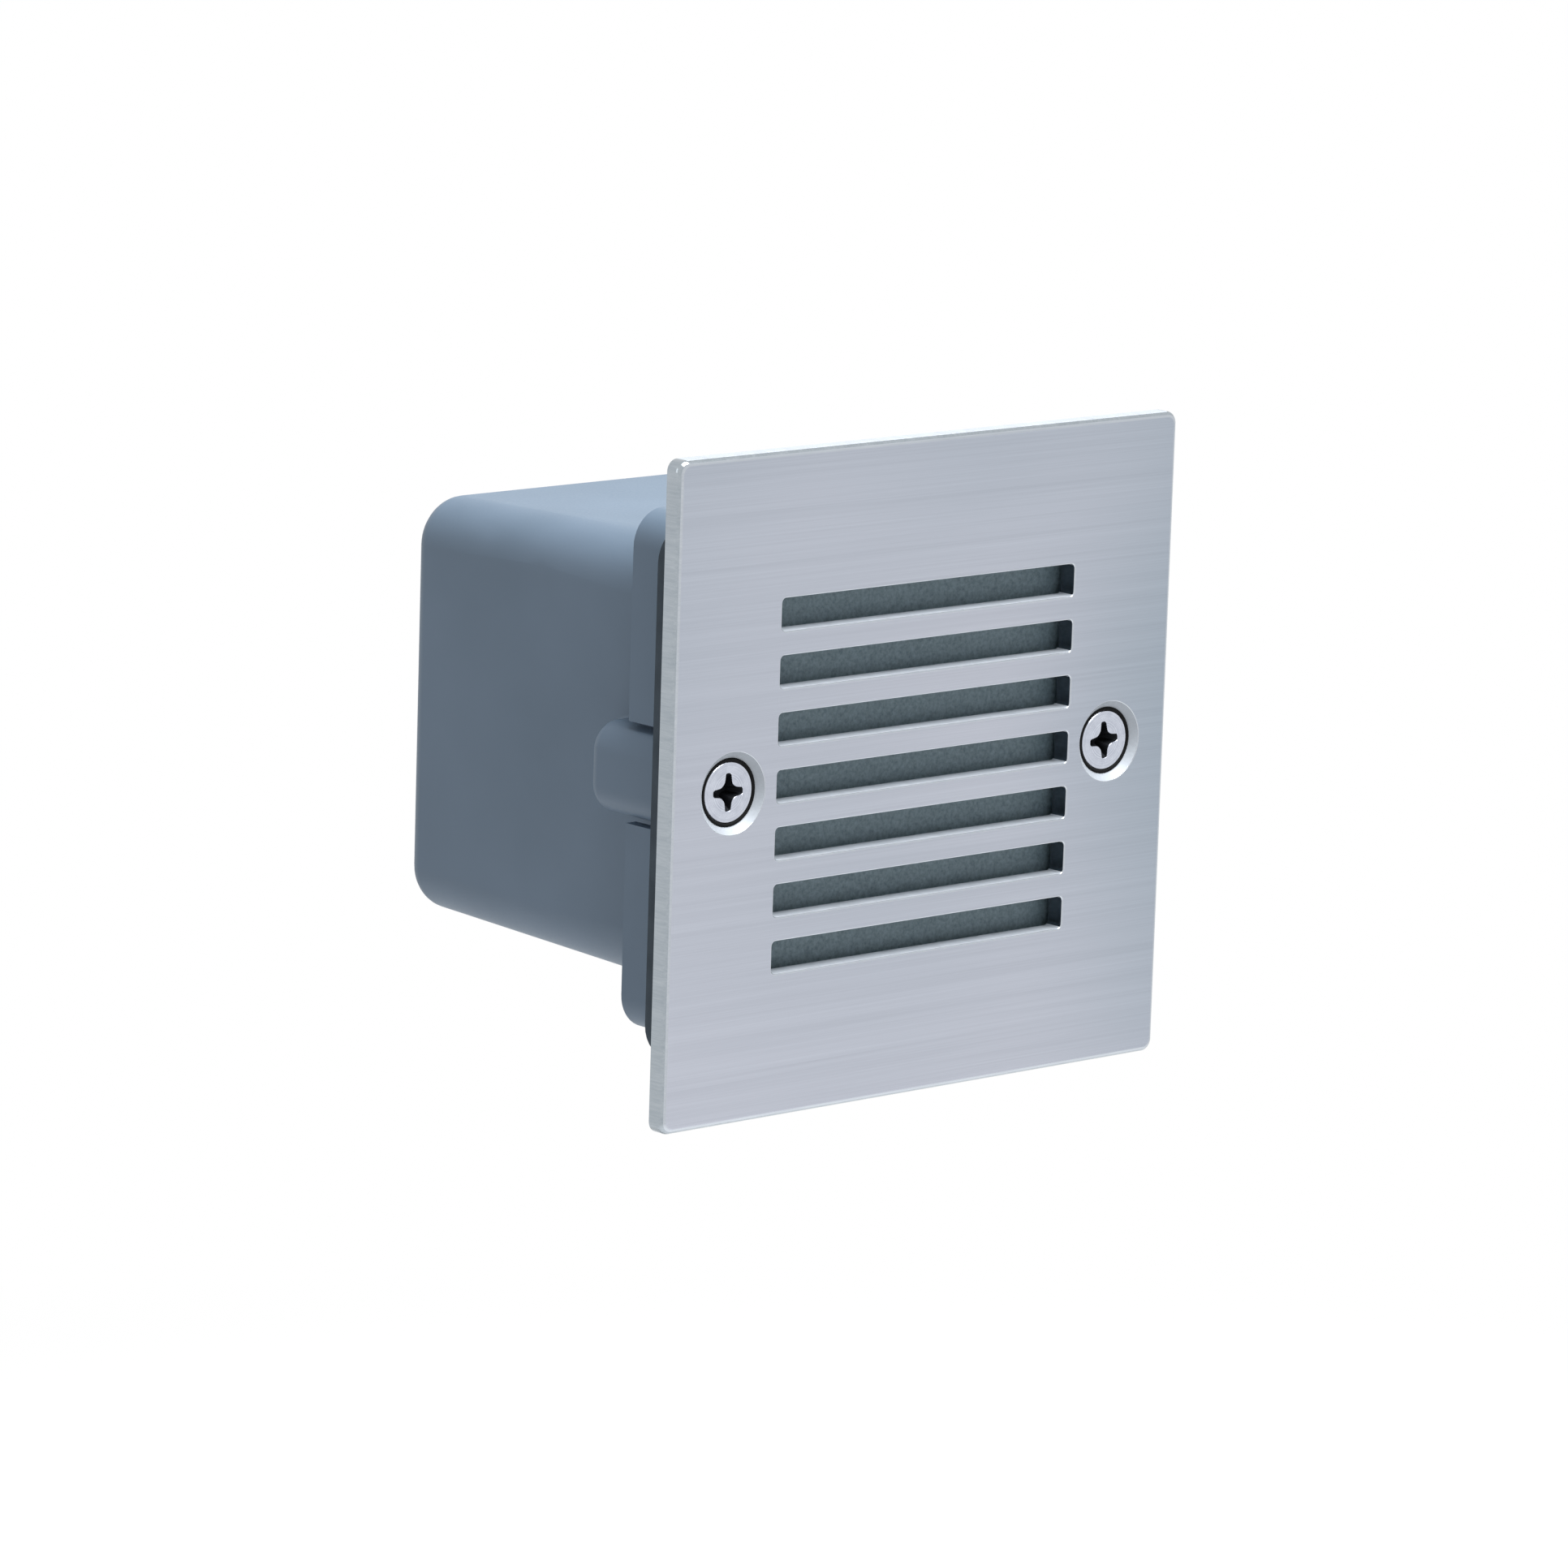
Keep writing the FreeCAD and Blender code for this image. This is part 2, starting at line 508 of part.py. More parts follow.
def make_gear_plate(doc):
    """Aluminium plate that carries the board in front and the driver behind."""
    body = new_body(doc, "gear_plate")
    slab(body, "gear_plan", "dim.gear_front", "dim.gear_back",
         [(add_rounded, ("dim.gear_width", "dim.gear_height", "dim.gear_corner"))])
    cut(body, "gear_holes", "dim.gear_front", "dim.gear_back + 1",
        circles("dim.small_shank + 0.15", four_corners("dim.post_x", "dim.post_z"))
        + circles("dim.pilot", [(x, "0") for x in both_ways("dim.board_screw_x")])
        + circles("dim.pilot", [(x, "0") for x in both_ways("dim.driver_screw_x")])
        + [(add_rounded, ("dim.lead_gate", "dim.gate_height", "dim.gate_corner", "0",
                          "dim.gate_z"))])


def make_led_board(doc):
    """Metal-core board with a gate for the leads at its lower edge."""
    body = new_body(doc, "led_board")
    slab(body, "board_plan", "dim.board_front", "dim.gear_front",
         [(add_rounded, ("dim.board_width", "dim.board_height", "dim.board_corner"))])
    cut(body, "board_holes", "dim.board_front", "dim.gear_front + 1",
        circles("dim.small_shank + 0.1", [(x, "0") for x in both_ways("dim.board_screw_x")])
        + [(add_box, ("-dim.lead_gate / 2", "dim.lead_gate / 2", "-dim.board_height",
                      "dim.lead_gate_top"))])


def make_led_packages(doc):
    """Sixteen light-emitting packages in four rows of four."""
    body = new_body(doc, "led_packages")
    places = [(f"{x} * dim.chip_pitch", f"{z} * dim.chip_pitch")
              for x in (-1.5, -0.5, 0.5, 1.5) for z in (-1.5, -0.5, 0.5, 1.5)]
    slab(body, "chip_plan", "dim.chip_front", "dim.board_front",
         [(add_middle_box, ("dim.chip_width", "dim.chip_height", x, z)) for x, z in places])


def make_led_connector(doc):
    """Small plug housing on the board that takes the two leads from below."""
    body = new_body(doc, "led_connector")
    slab(body, "plug_plan", "dim.plug_front", "dim.board_front",
         [(add_box, ("-dim.plug_width / 2", "dim.plug_width / 2", "dim.plug_low",
                     "dim.plug_high"))])


# ---------------------------------------------------------------- driver

def make_driver_case(doc):
    """Open plastic tray with a screw ear on each side, closed by the lid."""
    body = new_body(doc, "driver_case")
    slab(body, "case_plan", "dim.gear_back", "dim.driver_back",
         [(add_rounded, ("dim.driver_width", "dim.driver_height", "dim.driver_corner"))])
    slab(body, "ear_plan", "dim.gear_back", "dim.driver_ear_back",
         [(add_rounded, ("2 * dim.driver_ear_x", "2 * dim.driver_ear_half",
                         "dim.driver_ear_corner"))])
    cut(body, "case_hollow", "dim.gear_back + dim.driver_wall", "dim.driver_back + 1",
        [(add_rounded, ("dim.driver_width - 2 * dim.driver_wall",
                        "dim.driver_height - 2 * dim.driver_wall",
                        "dim.driver_corner - dim.driver_wall"))])
    cut(body, "case_ear_holes", "dim.gear_back", "dim.driver_ear_back + 1",
        circles("dim.small_shank + 0.1", [(x, "0") for x in both_ways("dim.driver_screw_x")]))


def make_driver_lid(doc, dim):
    """Lid with a locating step that drops into the tray."""
    body = new_body(doc, "driver_lid")
    lid = slab(body, "lid_plan", "dim.driver_back", "dim.lid_back",
               [(add_rounded, ("dim.driver_width", "dim.driver_height", "dim.driver_corner"))])
    dress(body, "Chamfer", lid, lambda spot: near(spot.y, dim.lid_back), "dim.lid_break")
    inset = "(dim.driver_wall + dim.lid_play)"
    slab(body, "lid_step", "dim.driver_back - dim.lid_step", "dim.driver_back",
         [(add_rounded, (f"dim.driver_width - 2 * {inset}", f"dim.driver_height - 2 * {inset}",
                         f"dim.driver_corner - {inset}"))])


def make_driver_board(doc):
    """Circuit board on four feet, with its transformer and capacitor."""
    body = new_body(doc, "driver_board")
    slab(body, "pcb_plan", "dim.pcb_front", "dim.pcb_back",
         [(add_middle_box, ("dim.pcb_width", "dim.pcb_height"))])
    slab(body, "pcb_feet", "dim.gear_back + dim.driver_wall", "dim.pcb_front",
         circles("dim.foot_radius", four_corners("dim.pcb_width / 2 - dim.foot_inset",
                                                 "dim.pcb_height / 2 - dim.foot_inset")))
    core = new_body(doc, "driver_transformer")
    slab(core, "core_plan", "dim.pcb_back", "dim.pcb_back + dim.core_depth",
         [(add_middle_box, ("dim.core_width", "dim.core_height", "dim.core_x"))])
    slab(core, "bobbin_plan", "dim.pcb_back + dim.bobbin_edge",
         "dim.pcb_back + dim.core_depth - dim.bobbin_edge",
         [(add_rounded, ("dim.bobbin_width", "dim.bobbin_height", "dim.bobbin_corner",
                         "dim.core_x"))])
    can = new_body(doc, "driver_capacitor")
    slab(can, "can_plan", "dim.pcb_back", "dim.pcb_back + dim.can_depth",
         circles("dim.can_radius", [("dim.can_x", "0")]))


# ---------------------------------------------------------------- terminal block and leads

def lug_places():
    """Places of the clamping screws, two to a pole."""
    return [(x, f"dim.terminal_z {way} dim.terminal_row") for x in both_ways("dim.pole_x")
            for way in ("+", "-")]


def upright(body, name, low, high, outlines):
    """Prism from z = low to z = high; outlines are drawn with x across and y up."""
    sketch = flat_sketch(body, name, "XY_Plane", low)
    for draw, arguments in outlines:
        draw(sketch, *arguments)
    feature = body.newObject("PartDesign::Pad", f"{name}_pad")
    feature.Profile = sketch
    feature.setExpression("Length", f"({high}) - ({low})")
    body.Document.recompute()
    return feature


def make_terminal_block(doc, dim):
    """Two-pole block on the housing's shelf: square clamp ways from above, screw wells in front."""
    body = new_body(doc, "terminal_block")
    block = slab(body, "block_plan", "dim.block_front", "dim.block_back",
                 [(add_box, ("-dim.block_width / 2", "dim.block_width / 2", "dim.block_low",
                             "dim.block_high"))])
    dress(body, "Chamfer", block, lambda spot: near(spot.y, dim.block_front), "dim.block_break")
    half = "dim.clamp_side / 2"
    cut(body, "clamp_ways", f"dim.clamp_y - {half}", f"dim.clamp_y + {half}",
        [(add_box, (f"{x} - {half}", f"{x} + {half}", "dim.block_low - 1", "dim.block_high + 1"))
         for x in both_ways("dim.pole_x")])
    cut(body, "screw_wells", "dim.block_front", "dim.clamp_y",
        circles("dim.lug_radius + 0.2", lug_places()))
    cut(body, "centre_hole", "dim.block_front", "dim.block_back + 1",
        circles("dim.small_shank + 0.15", [("0", "dim.terminal_z")]))


def make_terminal_clamps(doc):
    """Square brass clamps in the block, each bored for the wire and tapped for two screws."""
    body = new_body(doc, "terminal_clamps")
    side = "dim.clamp_side - 0.1"
    poles = both_ways("dim.pole_x")
    upright(body, "clamp_plan", "dim.block_low + 1", "dim.block_high - 1",
            [(add_middle_box, (side, side, x, "dim.clamp_y")) for x in poles]
            + circles("dim.clamp_bore", [(x, "dim.clamp_y") for x in poles]))
    cut(body, "clamp_taps", "dim.clamp_y - dim.clamp_side", "dim.clamp_y",
        circles("dim.lug_radius + 0.03", lug_places()))


def make_terminal_screws(doc):
    """Four slotted clamping screws, two on each pole."""
    body = new_body(doc, "terminal_screws")
    top = "dim.block_front + 1"
    slab(body, "lug_plan", top, "dim.clamp_y - dim.clamp_bore / 2",
         circles("dim.lug_radius", lug_places()))
    reach, half = "dim.lug_radius + 0.2", "dim.small_slot / 2"
    cut(body, "lug_slots", top, f"{top} + dim.small_slot_depth",
        [(add_box, (f"{x} - {reach}", f"{x} + {reach}", f"{z} - {half}", f"{z} + {half}"))
         for x, z in lug_places()])


def add_bend(body, name, place, start, centre, spring, downwards):
    """Quarter bend of a wire, from its upright end at y = start round an axis along x.

    place is (radius, x); the axis lies at y = centre and z = spring.
    """
    radius, across = place
    sketch = flat_sketch(body, name, "XY_Plane", spring)
    add_circle(sketch, radius, across, start)
    middle = Vector(number(sketch, across), number(sketch, centre), 0)
    axis = sketch.addGeometry(Part.LineSegment(middle - Vector(1, 0, 0), middle), True)
    pin(sketch, axis, 1, f"{across} - 1", centre)
    pin(sketch, axis, 2, across, centre)
    feature = body.newObject("PartDesign::Revolution", f"{name}_turn")
    feature.Profile = sketch
    feature.ReferenceAxis = (sketch, ["Axis0"])
    feature.Angle = 90
    feature.Reversed = (number(sketch, start) < middle.y) != downwards
    body.Document.recompute()


def make_lead(doc, label, place, ends, feet, level, bend):
    """Round wire with two upright ends and a level run between them.

    place is (radius, x); ends are the y of the two uprights, feet the z where they start, and
    level is the z of the run. The bends' inside lies bend away from the wire's middle.
    """
    body = new_body(doc, label)
    radius, across = place
    sheet = doc.getObject("dim")
    downwards = number(sheet, level) < number(sheet, feet[0])
    spring = f"({level}) + {bend}" if downwards else f"({level}) - {bend}"
    centres = (f"{ends[0]} + {bend}", f"{ends[1]} - {bend}")
    for count, (y, foot) in enumerate(zip(ends, feet)):
        low, high = (spring, foot) if downwards else (foot, spring)
        upright(body, f"{label}_end_{count}", low, high, circles(radius, [(across, y)]))
        add_bend(body, f"{label}_bend_{count}", place, y, centres[count], spring, downwards)
    slab(body, f"{label}_run", *centres, circles(radius, [(across, level)]))


def make_leads(doc):
    """Mains leads from the driver to the block, and lamp leads from the board to the driver."""
    for label, across in (("live_lead", "-dim.pole_x"), ("neutral_lead", "dim.pole_x")):
        make_lead(doc, label, ("dim.mains_radius", across), ("dim.mains_y", "dim.clamp_y"),
                  ("dim.driver_height / 2", "dim.block_high"), "dim.mains_z", "dim.mains_bend")
    plug_middle = "(dim.plug_front + dim.board_front) / 2"
    for label, across in (("led_lead_positive", "-dim.lamp_x"), ("led_lead_negative", "dim.lamp_x")):
        make_lead(doc, label, ("dim.lamp_radius", across), (plug_middle, "dim.lamp_y"),
                  ("dim.plug_low", "-dim.driver_height / 2"), "dim.gate_z", "dim.lamp_bend")


# ---------------------------------------------------------------- small screws

def make_screws(doc, label, places, head_start, way, length):
    """Slotted cheese-head screws, one at each place.

    The head starts at y = head_start and the shank leaves it in the direction of way, 1 or -1.
    """
    body = new_body(doc, label)
    neck = f"{head_start} + {way} * dim.small_head_height"
    tip = f"{neck} + {way} * {length}"
    head_low, head_high = (head_start, neck) if way > 0 else (neck, head_start)
    shank_low, shank_high = (neck, tip) if way > 0 else (tip, neck)
    slab(body, "heads", head_low, head_high, circles("dim.small_head", places))
    slab(body, "shanks", shank_low, shank_high, circles("dim.small_shank", places))
    start = head_start if way > 0 else f"{head_start} - dim.small_slot_depth"
    cut(body, "driver_slots", start, f"{start} + dim.small_slot_depth",
        [(add_middle_box, ("2 * dim.small_head + 1", "dim.small_slot", x, z)) for x, z in places])


def make_small_screws(doc):
    heads = "dim.small_head_height"
    make_screws(doc, "led_board_screws", [(x, "0") for x in both_ways("dim.board_screw_x")],
                f"dim.board_front - {heads}", 1, "dim.board_screw_length")
    make_screws(doc, "gear_plate_screws", four_corners("dim.post_x", "dim.post_z"),
                f"dim.gear_front - {heads}", 1, "dim.post_screw_length")
    make_screws(doc, "driver_screws", [(x, "0") for x in both_ways("dim.driver_screw_x")],
                f"dim.driver_ear_back + {heads}", -1, "dim.driver_screw_length")
    make_screws(doc, "terminal_fixing_screw", [("0", "dim.terminal_z")],
                f"dim.block_front - {heads}", 1, "dim.block_screw_length")


# ---------------------------------------------------------------- cable gland

def set_on_gland(body):
    body.setExpression("Placement.Base.z", "dim.gland_z")


def make_gland_washer(doc):
    """Flat sealing washer under the gland's hexagon."""
    body = new_body(doc, "gland_washer")
    slab(body, "washer_plan", "dim.box_back", "dim.washer_back",
         circles("dim.gland_flats / 2 + 0.2", [("0", "0")]) + circles("dim.gland_thread", [("0", "0")]))
    set_on_gland(body)


def make_gland_body(doc):
    """Threaded stem through the wall, hexagon outside, and a spigot with a cup for the seal."""
    body = new_body(doc, "gland_body")
    slab(body, "hexagon_plan", "dim.washer_back", "dim.hex_back", [(add_hexagon, ("dim.gland_flats",))])
    turned(body, "stem_section",
           (("dim.gland_bore", "dim.gland_in"), ("dim.gland_thread - 0.6", "dim.gland_in"),
            ("dim.gland_thread", "dim.gland_in + 0.6"), ("dim.gland_thread", "dim.washer_back + 0.5"),
            ("dim.spigot_radius", "dim.washer_back + 0.5"),
            ("dim.spigot_radius", "dim.spigot_back - 0.5"),
            ("dim.spigot_radius - 0.5", "dim.spigot_back"), ("dim.gland_bore", "dim.spigot_back")))
    turned(body, "bore_section",
           (("0", "dim.gland_in - 1"), ("dim.gland_bore", "dim.gland_in - 1"),
            ("dim.gland_bore", "dim.cup_front"), ("dim.cup_radius", "dim.cup_front"),
            ("dim.cup_radius", "dim.spigot_back + 1"), ("0", "dim.spigot_back + 1")), groove=True)
    set_on_gland(body)


def make_gland_locknut(doc):
    """Hexagon nut that draws the gland tight from inside."""
    body = new_body(doc, "gland_locknut")
    inside = "dim.box_back - dim.wall"
    slab(body, "locknut_plan", "dim.locknut_front", inside,
         [(add_hexagon, ("dim.gland_flats - 1",)), (add_circle, ("dim.gland_thread",))])
    set_on_gland(body)


def make_gland_seal(doc):
    """Rubber sleeve that grips the cable, with a coned rear end."""
    body = new_body(doc, "gland_seal")
    turned(body, "sleeve_section",
           (("dim.cable_radius", "dim.cup_front"), ("dim.cup_radius", "dim.cup_front"),
            ("dim.cup_radius", "dim.spigot_back"), ("dim.cup_radius - 0.9", "dim.seal_end"),
            ("dim.cable_radius", "dim.seal_end")))
    set_on_gland(body)


def make_gland_ring(doc):
    """Thrust ring between the seal and the dome; it travels with the nut without turning."""
    body = new_body(doc, "gland_ring")
    bore, front = "dim.cable_radius + 0.4", "dim.seal_end + 0.05"
    turned(body, "ring_section",
           ((bore, front), ("dim.cup_radius", front), ("dim.cup_radius", "dim.ring_back"),
            (bore, "dim.ring_back")))
    set_on_gland(body)


def make_gland_nut(doc):
    """Domed nut with six flats that presses the ring and seal."""
    body = new_body(doc, "gland_nut")
    slab(body, "nut_flats", "dim.nut_front", "dim.nut_hex_back",
         [(add_hexagon, ("dim.gland_flats",))])
    dome = "dim.gland_flats / 2"
    turned(body, "dome_section",
           (("0", "dim.nut_front + 1"), (dome, "dim.nut_front + 1"), (dome, "dim.nut_hex_back + 1"),
            (f"{dome} - 1.2", "dim.nut_back - 2"), (f"{dome} - 3.4", "dim.nut_back"),
            ("0", "dim.nut_back")))
    thread = "dim.spigot_radius + 0.06"
    turned(body, "nut_bore",
           (("0", "dim.nut_front - 1"), (thread, "dim.nut_front - 1"),
            (thread, "dim.ring_back + 0.05"), ("dim.nut_mouth", "dim.ring_back + 0.05"),
            ("dim.nut_mouth", "dim.nut_back + 1"), ("0", "dim.nut_back + 1")), groove=True)
    set_on_gland(body)


def build(doc):
    dim = fill_sheet(doc)
    make_faceplate(doc, dim)
    make_gasket(doc)
    make_lens(doc, dim)
    make_lens_seal(doc)
    for side, place, turn in (("left", "-dim.screw_place", 0), ("right", "dim.screw_place", 12)):
        make_screw_washer(doc, side, place)
        make_faceplate_screw(doc, side, place, turn)
    make_housing(doc, dim)
    make_inserts(doc)
    make_reflector(doc)
    make_gear_plate(doc)
    make_led_board(doc)
    make_led_packages(doc)
    make_led_connector(doc)
    make_driver_case(doc)
    make_driver_lid(doc, dim)
    make_driver_board(doc)
    make_terminal_block(doc, dim)
    make_terminal_clamps(doc)
    make_terminal_screws(doc)
    make_leads(doc)
    make_small_screws(doc)
    make_gland_washer(doc)
    make_gland_body(doc)
    make_gland_locknut(doc)
    make_gland_seal(doc)
    make_gland_ring(doc)
    make_gland_nut(doc)
    doc.recompute()


def check(doc):
    """Stops unless every object is up to date and every sub-part is a valid closed shape."""
    for item in doc.Objects:
        if "Invalid" in item.State or "Error" in item.State:
            raise RuntimeError(f"{item.Name} failed: {item.State}")
        if item.TypeId == "Sketcher::SketchObject" and not item.FullyConstrained:
            raise RuntimeError(f"{item.Name} is loose")
    bodies = [item for item in doc.Objects if item.TypeId == "PartDesign::Body"]
    for body in bodies:
        shape = body.Shape
        if shape.isNull() or not shape.isValid() or shape.Volume <= 0:
            raise RuntimeError(f"{body.Label} has no valid shape")
        box = shape.BoundBox
        print(f"{body.Label:24} solids {len(shape.Solids):2}  volume {shape.Volume:9.1f}  "
              f"y {box.YMin:7.2f} to {box.YMax:6.2f}")
    return bodies


def export(bodies):
    os.makedirs("parts", exist_ok=True)
    for body in bodies:
        body.Shape.exportStep(f"parts/{body.Label}.step")


document = FreeCAD.newDocument("step_light")
build(document)
export(check(document))
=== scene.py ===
"""Looks of the recessed step light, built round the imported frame.

The plate faces -Y, +Z is up and the wall's face is y = 0. Lengths are metres.
"""
import json
import logging
import math
from collections.abc import Callable
from dataclasses import dataclass, field
from enum import Enum

import bmesh
import bpy
import numpy as np
from mathutils import Matrix, Vector
from mathutils.geometry import delaunay_2d_cdt


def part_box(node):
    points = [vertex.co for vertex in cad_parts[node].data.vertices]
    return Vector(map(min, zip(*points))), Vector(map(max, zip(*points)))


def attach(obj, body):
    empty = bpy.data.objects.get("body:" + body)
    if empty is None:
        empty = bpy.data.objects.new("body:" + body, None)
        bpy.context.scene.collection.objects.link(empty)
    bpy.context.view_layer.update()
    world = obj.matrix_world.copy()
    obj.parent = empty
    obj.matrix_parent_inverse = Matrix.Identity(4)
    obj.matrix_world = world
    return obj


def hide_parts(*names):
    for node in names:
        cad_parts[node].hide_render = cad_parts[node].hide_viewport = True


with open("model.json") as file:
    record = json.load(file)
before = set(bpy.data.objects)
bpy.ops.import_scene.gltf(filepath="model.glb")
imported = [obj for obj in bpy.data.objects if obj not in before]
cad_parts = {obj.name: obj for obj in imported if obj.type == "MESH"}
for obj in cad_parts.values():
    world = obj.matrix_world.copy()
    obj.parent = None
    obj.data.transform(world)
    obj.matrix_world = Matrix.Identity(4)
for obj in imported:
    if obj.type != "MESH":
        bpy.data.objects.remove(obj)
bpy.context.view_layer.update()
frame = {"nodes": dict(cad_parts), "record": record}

LOG = logging.getLogger("step_light")
MM = 0.001
SCREW_PLACE = 38.0 * MM  # of each faceplate screw's axis from the middle
MERGE = 1e-6  # points this close are one point
TINY = 1e-7  # edges this short are dropped
TONE_SPAN = (0.3, 0.7)  # part of a noise's range that holds nearly all of it
COLOUR_A, COLOUR_B, COLOUR_OUT = 6, 7, 2  # a Mix node's colour inputs and colour output
WHITE = (1.0, 1.0, 1.0, 1.0)

Tree = bpy.types.NodeTree
Node = bpy.types.Node
Socket = bpy.types.NodeSocket
Material = bpy.types.Material
Thing = bpy.types.Object
Pair = tuple[float, float]
Triple = tuple[float, float, float]
Outline = Callable[[float], np.ndarray]
Rings = np.ndarray  # rings by places by (x, y, z)
Wall = tuple[Outline, np.ndarray]
FaceTest = Callable[[np.ndarray, np.ndarray], np.ndarray]


# ------------ small tools

def linear(colour: str) -> tuple[float, float, float, float]:
    """Turns an sRGB hex colour into linear light.

    Args:
        colour: six hex digits.

    Returns:
        Red, green, blue and alpha, each from 0 to 1.
    """
    parts = [int(colour[at:at + 2], 16) / 255 for at in (0, 2, 4)]
    red, green, blue = (part / 12.92 if part <= 0.04045 else ((part + 0.055) / 1.055) ** 2.4
                        for part in parts)
    return red, green, blue, 1.0


def add_node(tree: Tree, kind: str, inputs: dict | None = None, **settings: object) -> Node:
    """Adds one shader node with its settings and what goes into its sockets.

    Args:
        tree: the node tree it goes into.
        kind: the node's type name after ShaderNode.
        inputs: socket name or index to a constant, or to the output that feeds it.
        settings: attributes of the node itself.

    Returns:
        The new node.
    """
    made = tree.nodes.new(f"ShaderNode{kind}")
    for name, value in settings.items():
        setattr(made, name, value)
    for socket, value in (inputs or {}).items():
        if isinstance(value, Socket):
            tree.links.new(value, made.inputs[socket])
        else:
            made.inputs[socket].default_value = value
    return made


def cells(tree: Tree, cell_mm: float | Triple, start: Triple = (0.0, 0.0, 0.0)) -> Socket:
    """Object coordinates counted in cells of a real size.

    Args:
        tree: the node tree.
        cell_mm: a cell's size, one number or along X, Y and Z.
        start: the coordinates at the object's origin.

    Returns:
        The coordinates.
    """
    place = add_node(tree, "TexCoord").outputs["Object"]
    scale = tuple(1 / (np.broadcast_to(cell_mm, 3) * MM))
    counted = add_node(tree, "Mapping", {"Location": start, "Scale": scale, "Vector": place})
    return counted.outputs["Vector"]


def from_axis(tree: Tree, place: Socket) -> Socket:
    """Distance from the Y axis: the length of a place whose y is made 0.

    Args:
        tree: the node tree.
        place: the place.

    Returns:
        The distance.
    """
    flat = add_node(tree, "VectorMath", {0: place, 1: (1.0, 0.0, 1.0)}, operation="MULTIPLY")
    length = add_node(tree, "VectorMath", {0: flat.outputs["Vector"]}, operation="LENGTH")
    return length.outputs["Value"]


def new_material(name: str) -> tuple[Material, Tree]:
    """Makes an empty node material.

    Args:
        name: the material's name.

    Returns:
        The material and its tree.
    """
    material = bpy.data.materials.new(name)
    material.use_nodes = True
    material.node_tree.nodes.clear()
    return material, material.node_tree


def end_tree(tree: Tree, inputs: dict) -> None:
    """Ends a material's tree in a Principled shader with these inputs."""
    shader = add_node(tree, "BsdfPrincipled", inputs)
    add_node(tree, "OutputMaterial", {"Surface": shader.outputs["BSDF"]})


# ------------ finishes

class Direction(Enum):
    """Axis along which a metal's brushing or rolling runs."""

    ALONG_X = 0
    ALONG_Y = 1


@dataclass(frozen=True)
class TwoToned:
    """What most finishes share: two tones between which the colour wanders, and a roughness."""

    name: str
    dark: str
    light: str
    roughness: float

    def wander(self, tree: Tree, tone: Socket, gloss: Socket, low: float, high: float) -> dict:
        """Colour from dark to light with one pattern, and roughness that goes with another.

        Args:
            tree: the node tree.
            tone: pattern that brings the colour from dark to light within TONE_SPAN.
            gloss: pattern from 0 to 1 that moves the roughness.
            low: share of the roughness at 0.
            high: share of the roughness at 1.

        Returns:
            The Principled shader's colour and roughness inputs.
        """
        ramp = add_node(tree, "ValToRGB", {"Fac": tone})
        for stop, place, colour in zip(ramp.color_ramp.elements, TONE_SPAN,
                                       (self.dark, self.light)):
            stop.position = place
            stop.color = linear(colour)
        rough = add_node(tree, "MapRange", {"Value": gloss, "To Min": self.roughness * low,
                                            "To Max": self.roughness * high})
        return {"Base Color": ramp.outputs["Color"], "Roughness": rough.outputs["Result"]}


@dataclass(frozen=True)
class BrushedSteel(TwoToned):
    """Stainless steel sheet drawn along a belt: long fine scratches that all run one way."""

    line_mm: float = 0.22
    run_mm: float = 45.0
    direction: Direction = Direction.ALONG_X
    bump: float = 0.06
    metallic: float = 1.0
    band_times: float = 6.25
    band_share: float = 0.35
    # Painted shade: a tint multiplied into the metal in soft patches, placed to darken part of the
    # face.
    shade_tint: str | None = None
    shade_patch_mm: float = 90.0
    shade_patch_start: Triple = (-5.97, 3.45, 0.91)

    def paint_shade_patches(self, tree: Tree, colour: Socket) -> Socket:
        """Darkens the metal with painted shade: a tint multiplied in, in soft patches about a set
        size across, placed by a set offset.

        Args:
            tree: the node tree.
            colour: the metal's own colour.

        Returns:
            The colour with the painted shade.
        """
        shade_patches = add_node(tree, "TexNoise", {
            "Vector": cells(tree, self.shade_patch_mm, self.shade_patch_start), "Scale": 1.0, "Detail": 1.0})
        share = add_node(tree, "MapRange", {"Value": shade_patches.outputs["Fac"],
                                            "From Min": TONE_SPAN[0], "From Max": TONE_SPAN[1]})
        shaded_colour = add_node(tree, "Mix", {"Factor": share.outputs["Result"], COLOUR_A: colour,
                                        COLOUR_B: linear(self.shade_tint)},
                          data_type="RGBA", blend_type="MULTIPLY")
        return shaded_colour.outputs[COLOUR_OUT]

    def build(self) -> Material:
        """Scratches and broader bands tint the metal, vary its gloss and dent it slightly.

        Belt scratches are about 0.05 mm wide; they are drawn at line_mm so that they show.

        Returns:
            The material.
        """
        material, tree = new_material(self.name)
        cell = [self.line_mm] * 3
        cell[self.direction.value] = self.run_mm
        broad = [size * self.band_times for size in cell]
        lines = add_node(tree, "TexNoise", {"Vector": cells(tree, cell), "Scale": 1.0,
                                            "Detail": 4.0, "Roughness": 0.62}).outputs["Fac"]
        bands = add_node(tree, "TexNoise", {"Vector": cells(tree, broad), "Scale": 1.0,
                                            "Detail": 2.0}).outputs["Fac"]
        tone = add_node(tree, "Mix", {"Factor": self.band_share, "A": lines, "B": bands})
        inputs = self.wander(tree, tone.outputs["Result"], tone.outputs["Result"], 0.75, 1.3)
        # Painted shade: darker patches multiplied into the face's colour.
        if self.shade_tint:
            inputs["Base Color"] = self.paint_shade_patches(tree, inputs["Base Color"])
        dent = add_node(tree, "Bump", {"Height": lines, "Strength": self.bump,
                                       "Distance": 0.02 * MM})
        end_tree(tree, {**inputs, "Normal": dent.outputs["Normal"], "Metallic": self.metallic})
        return material


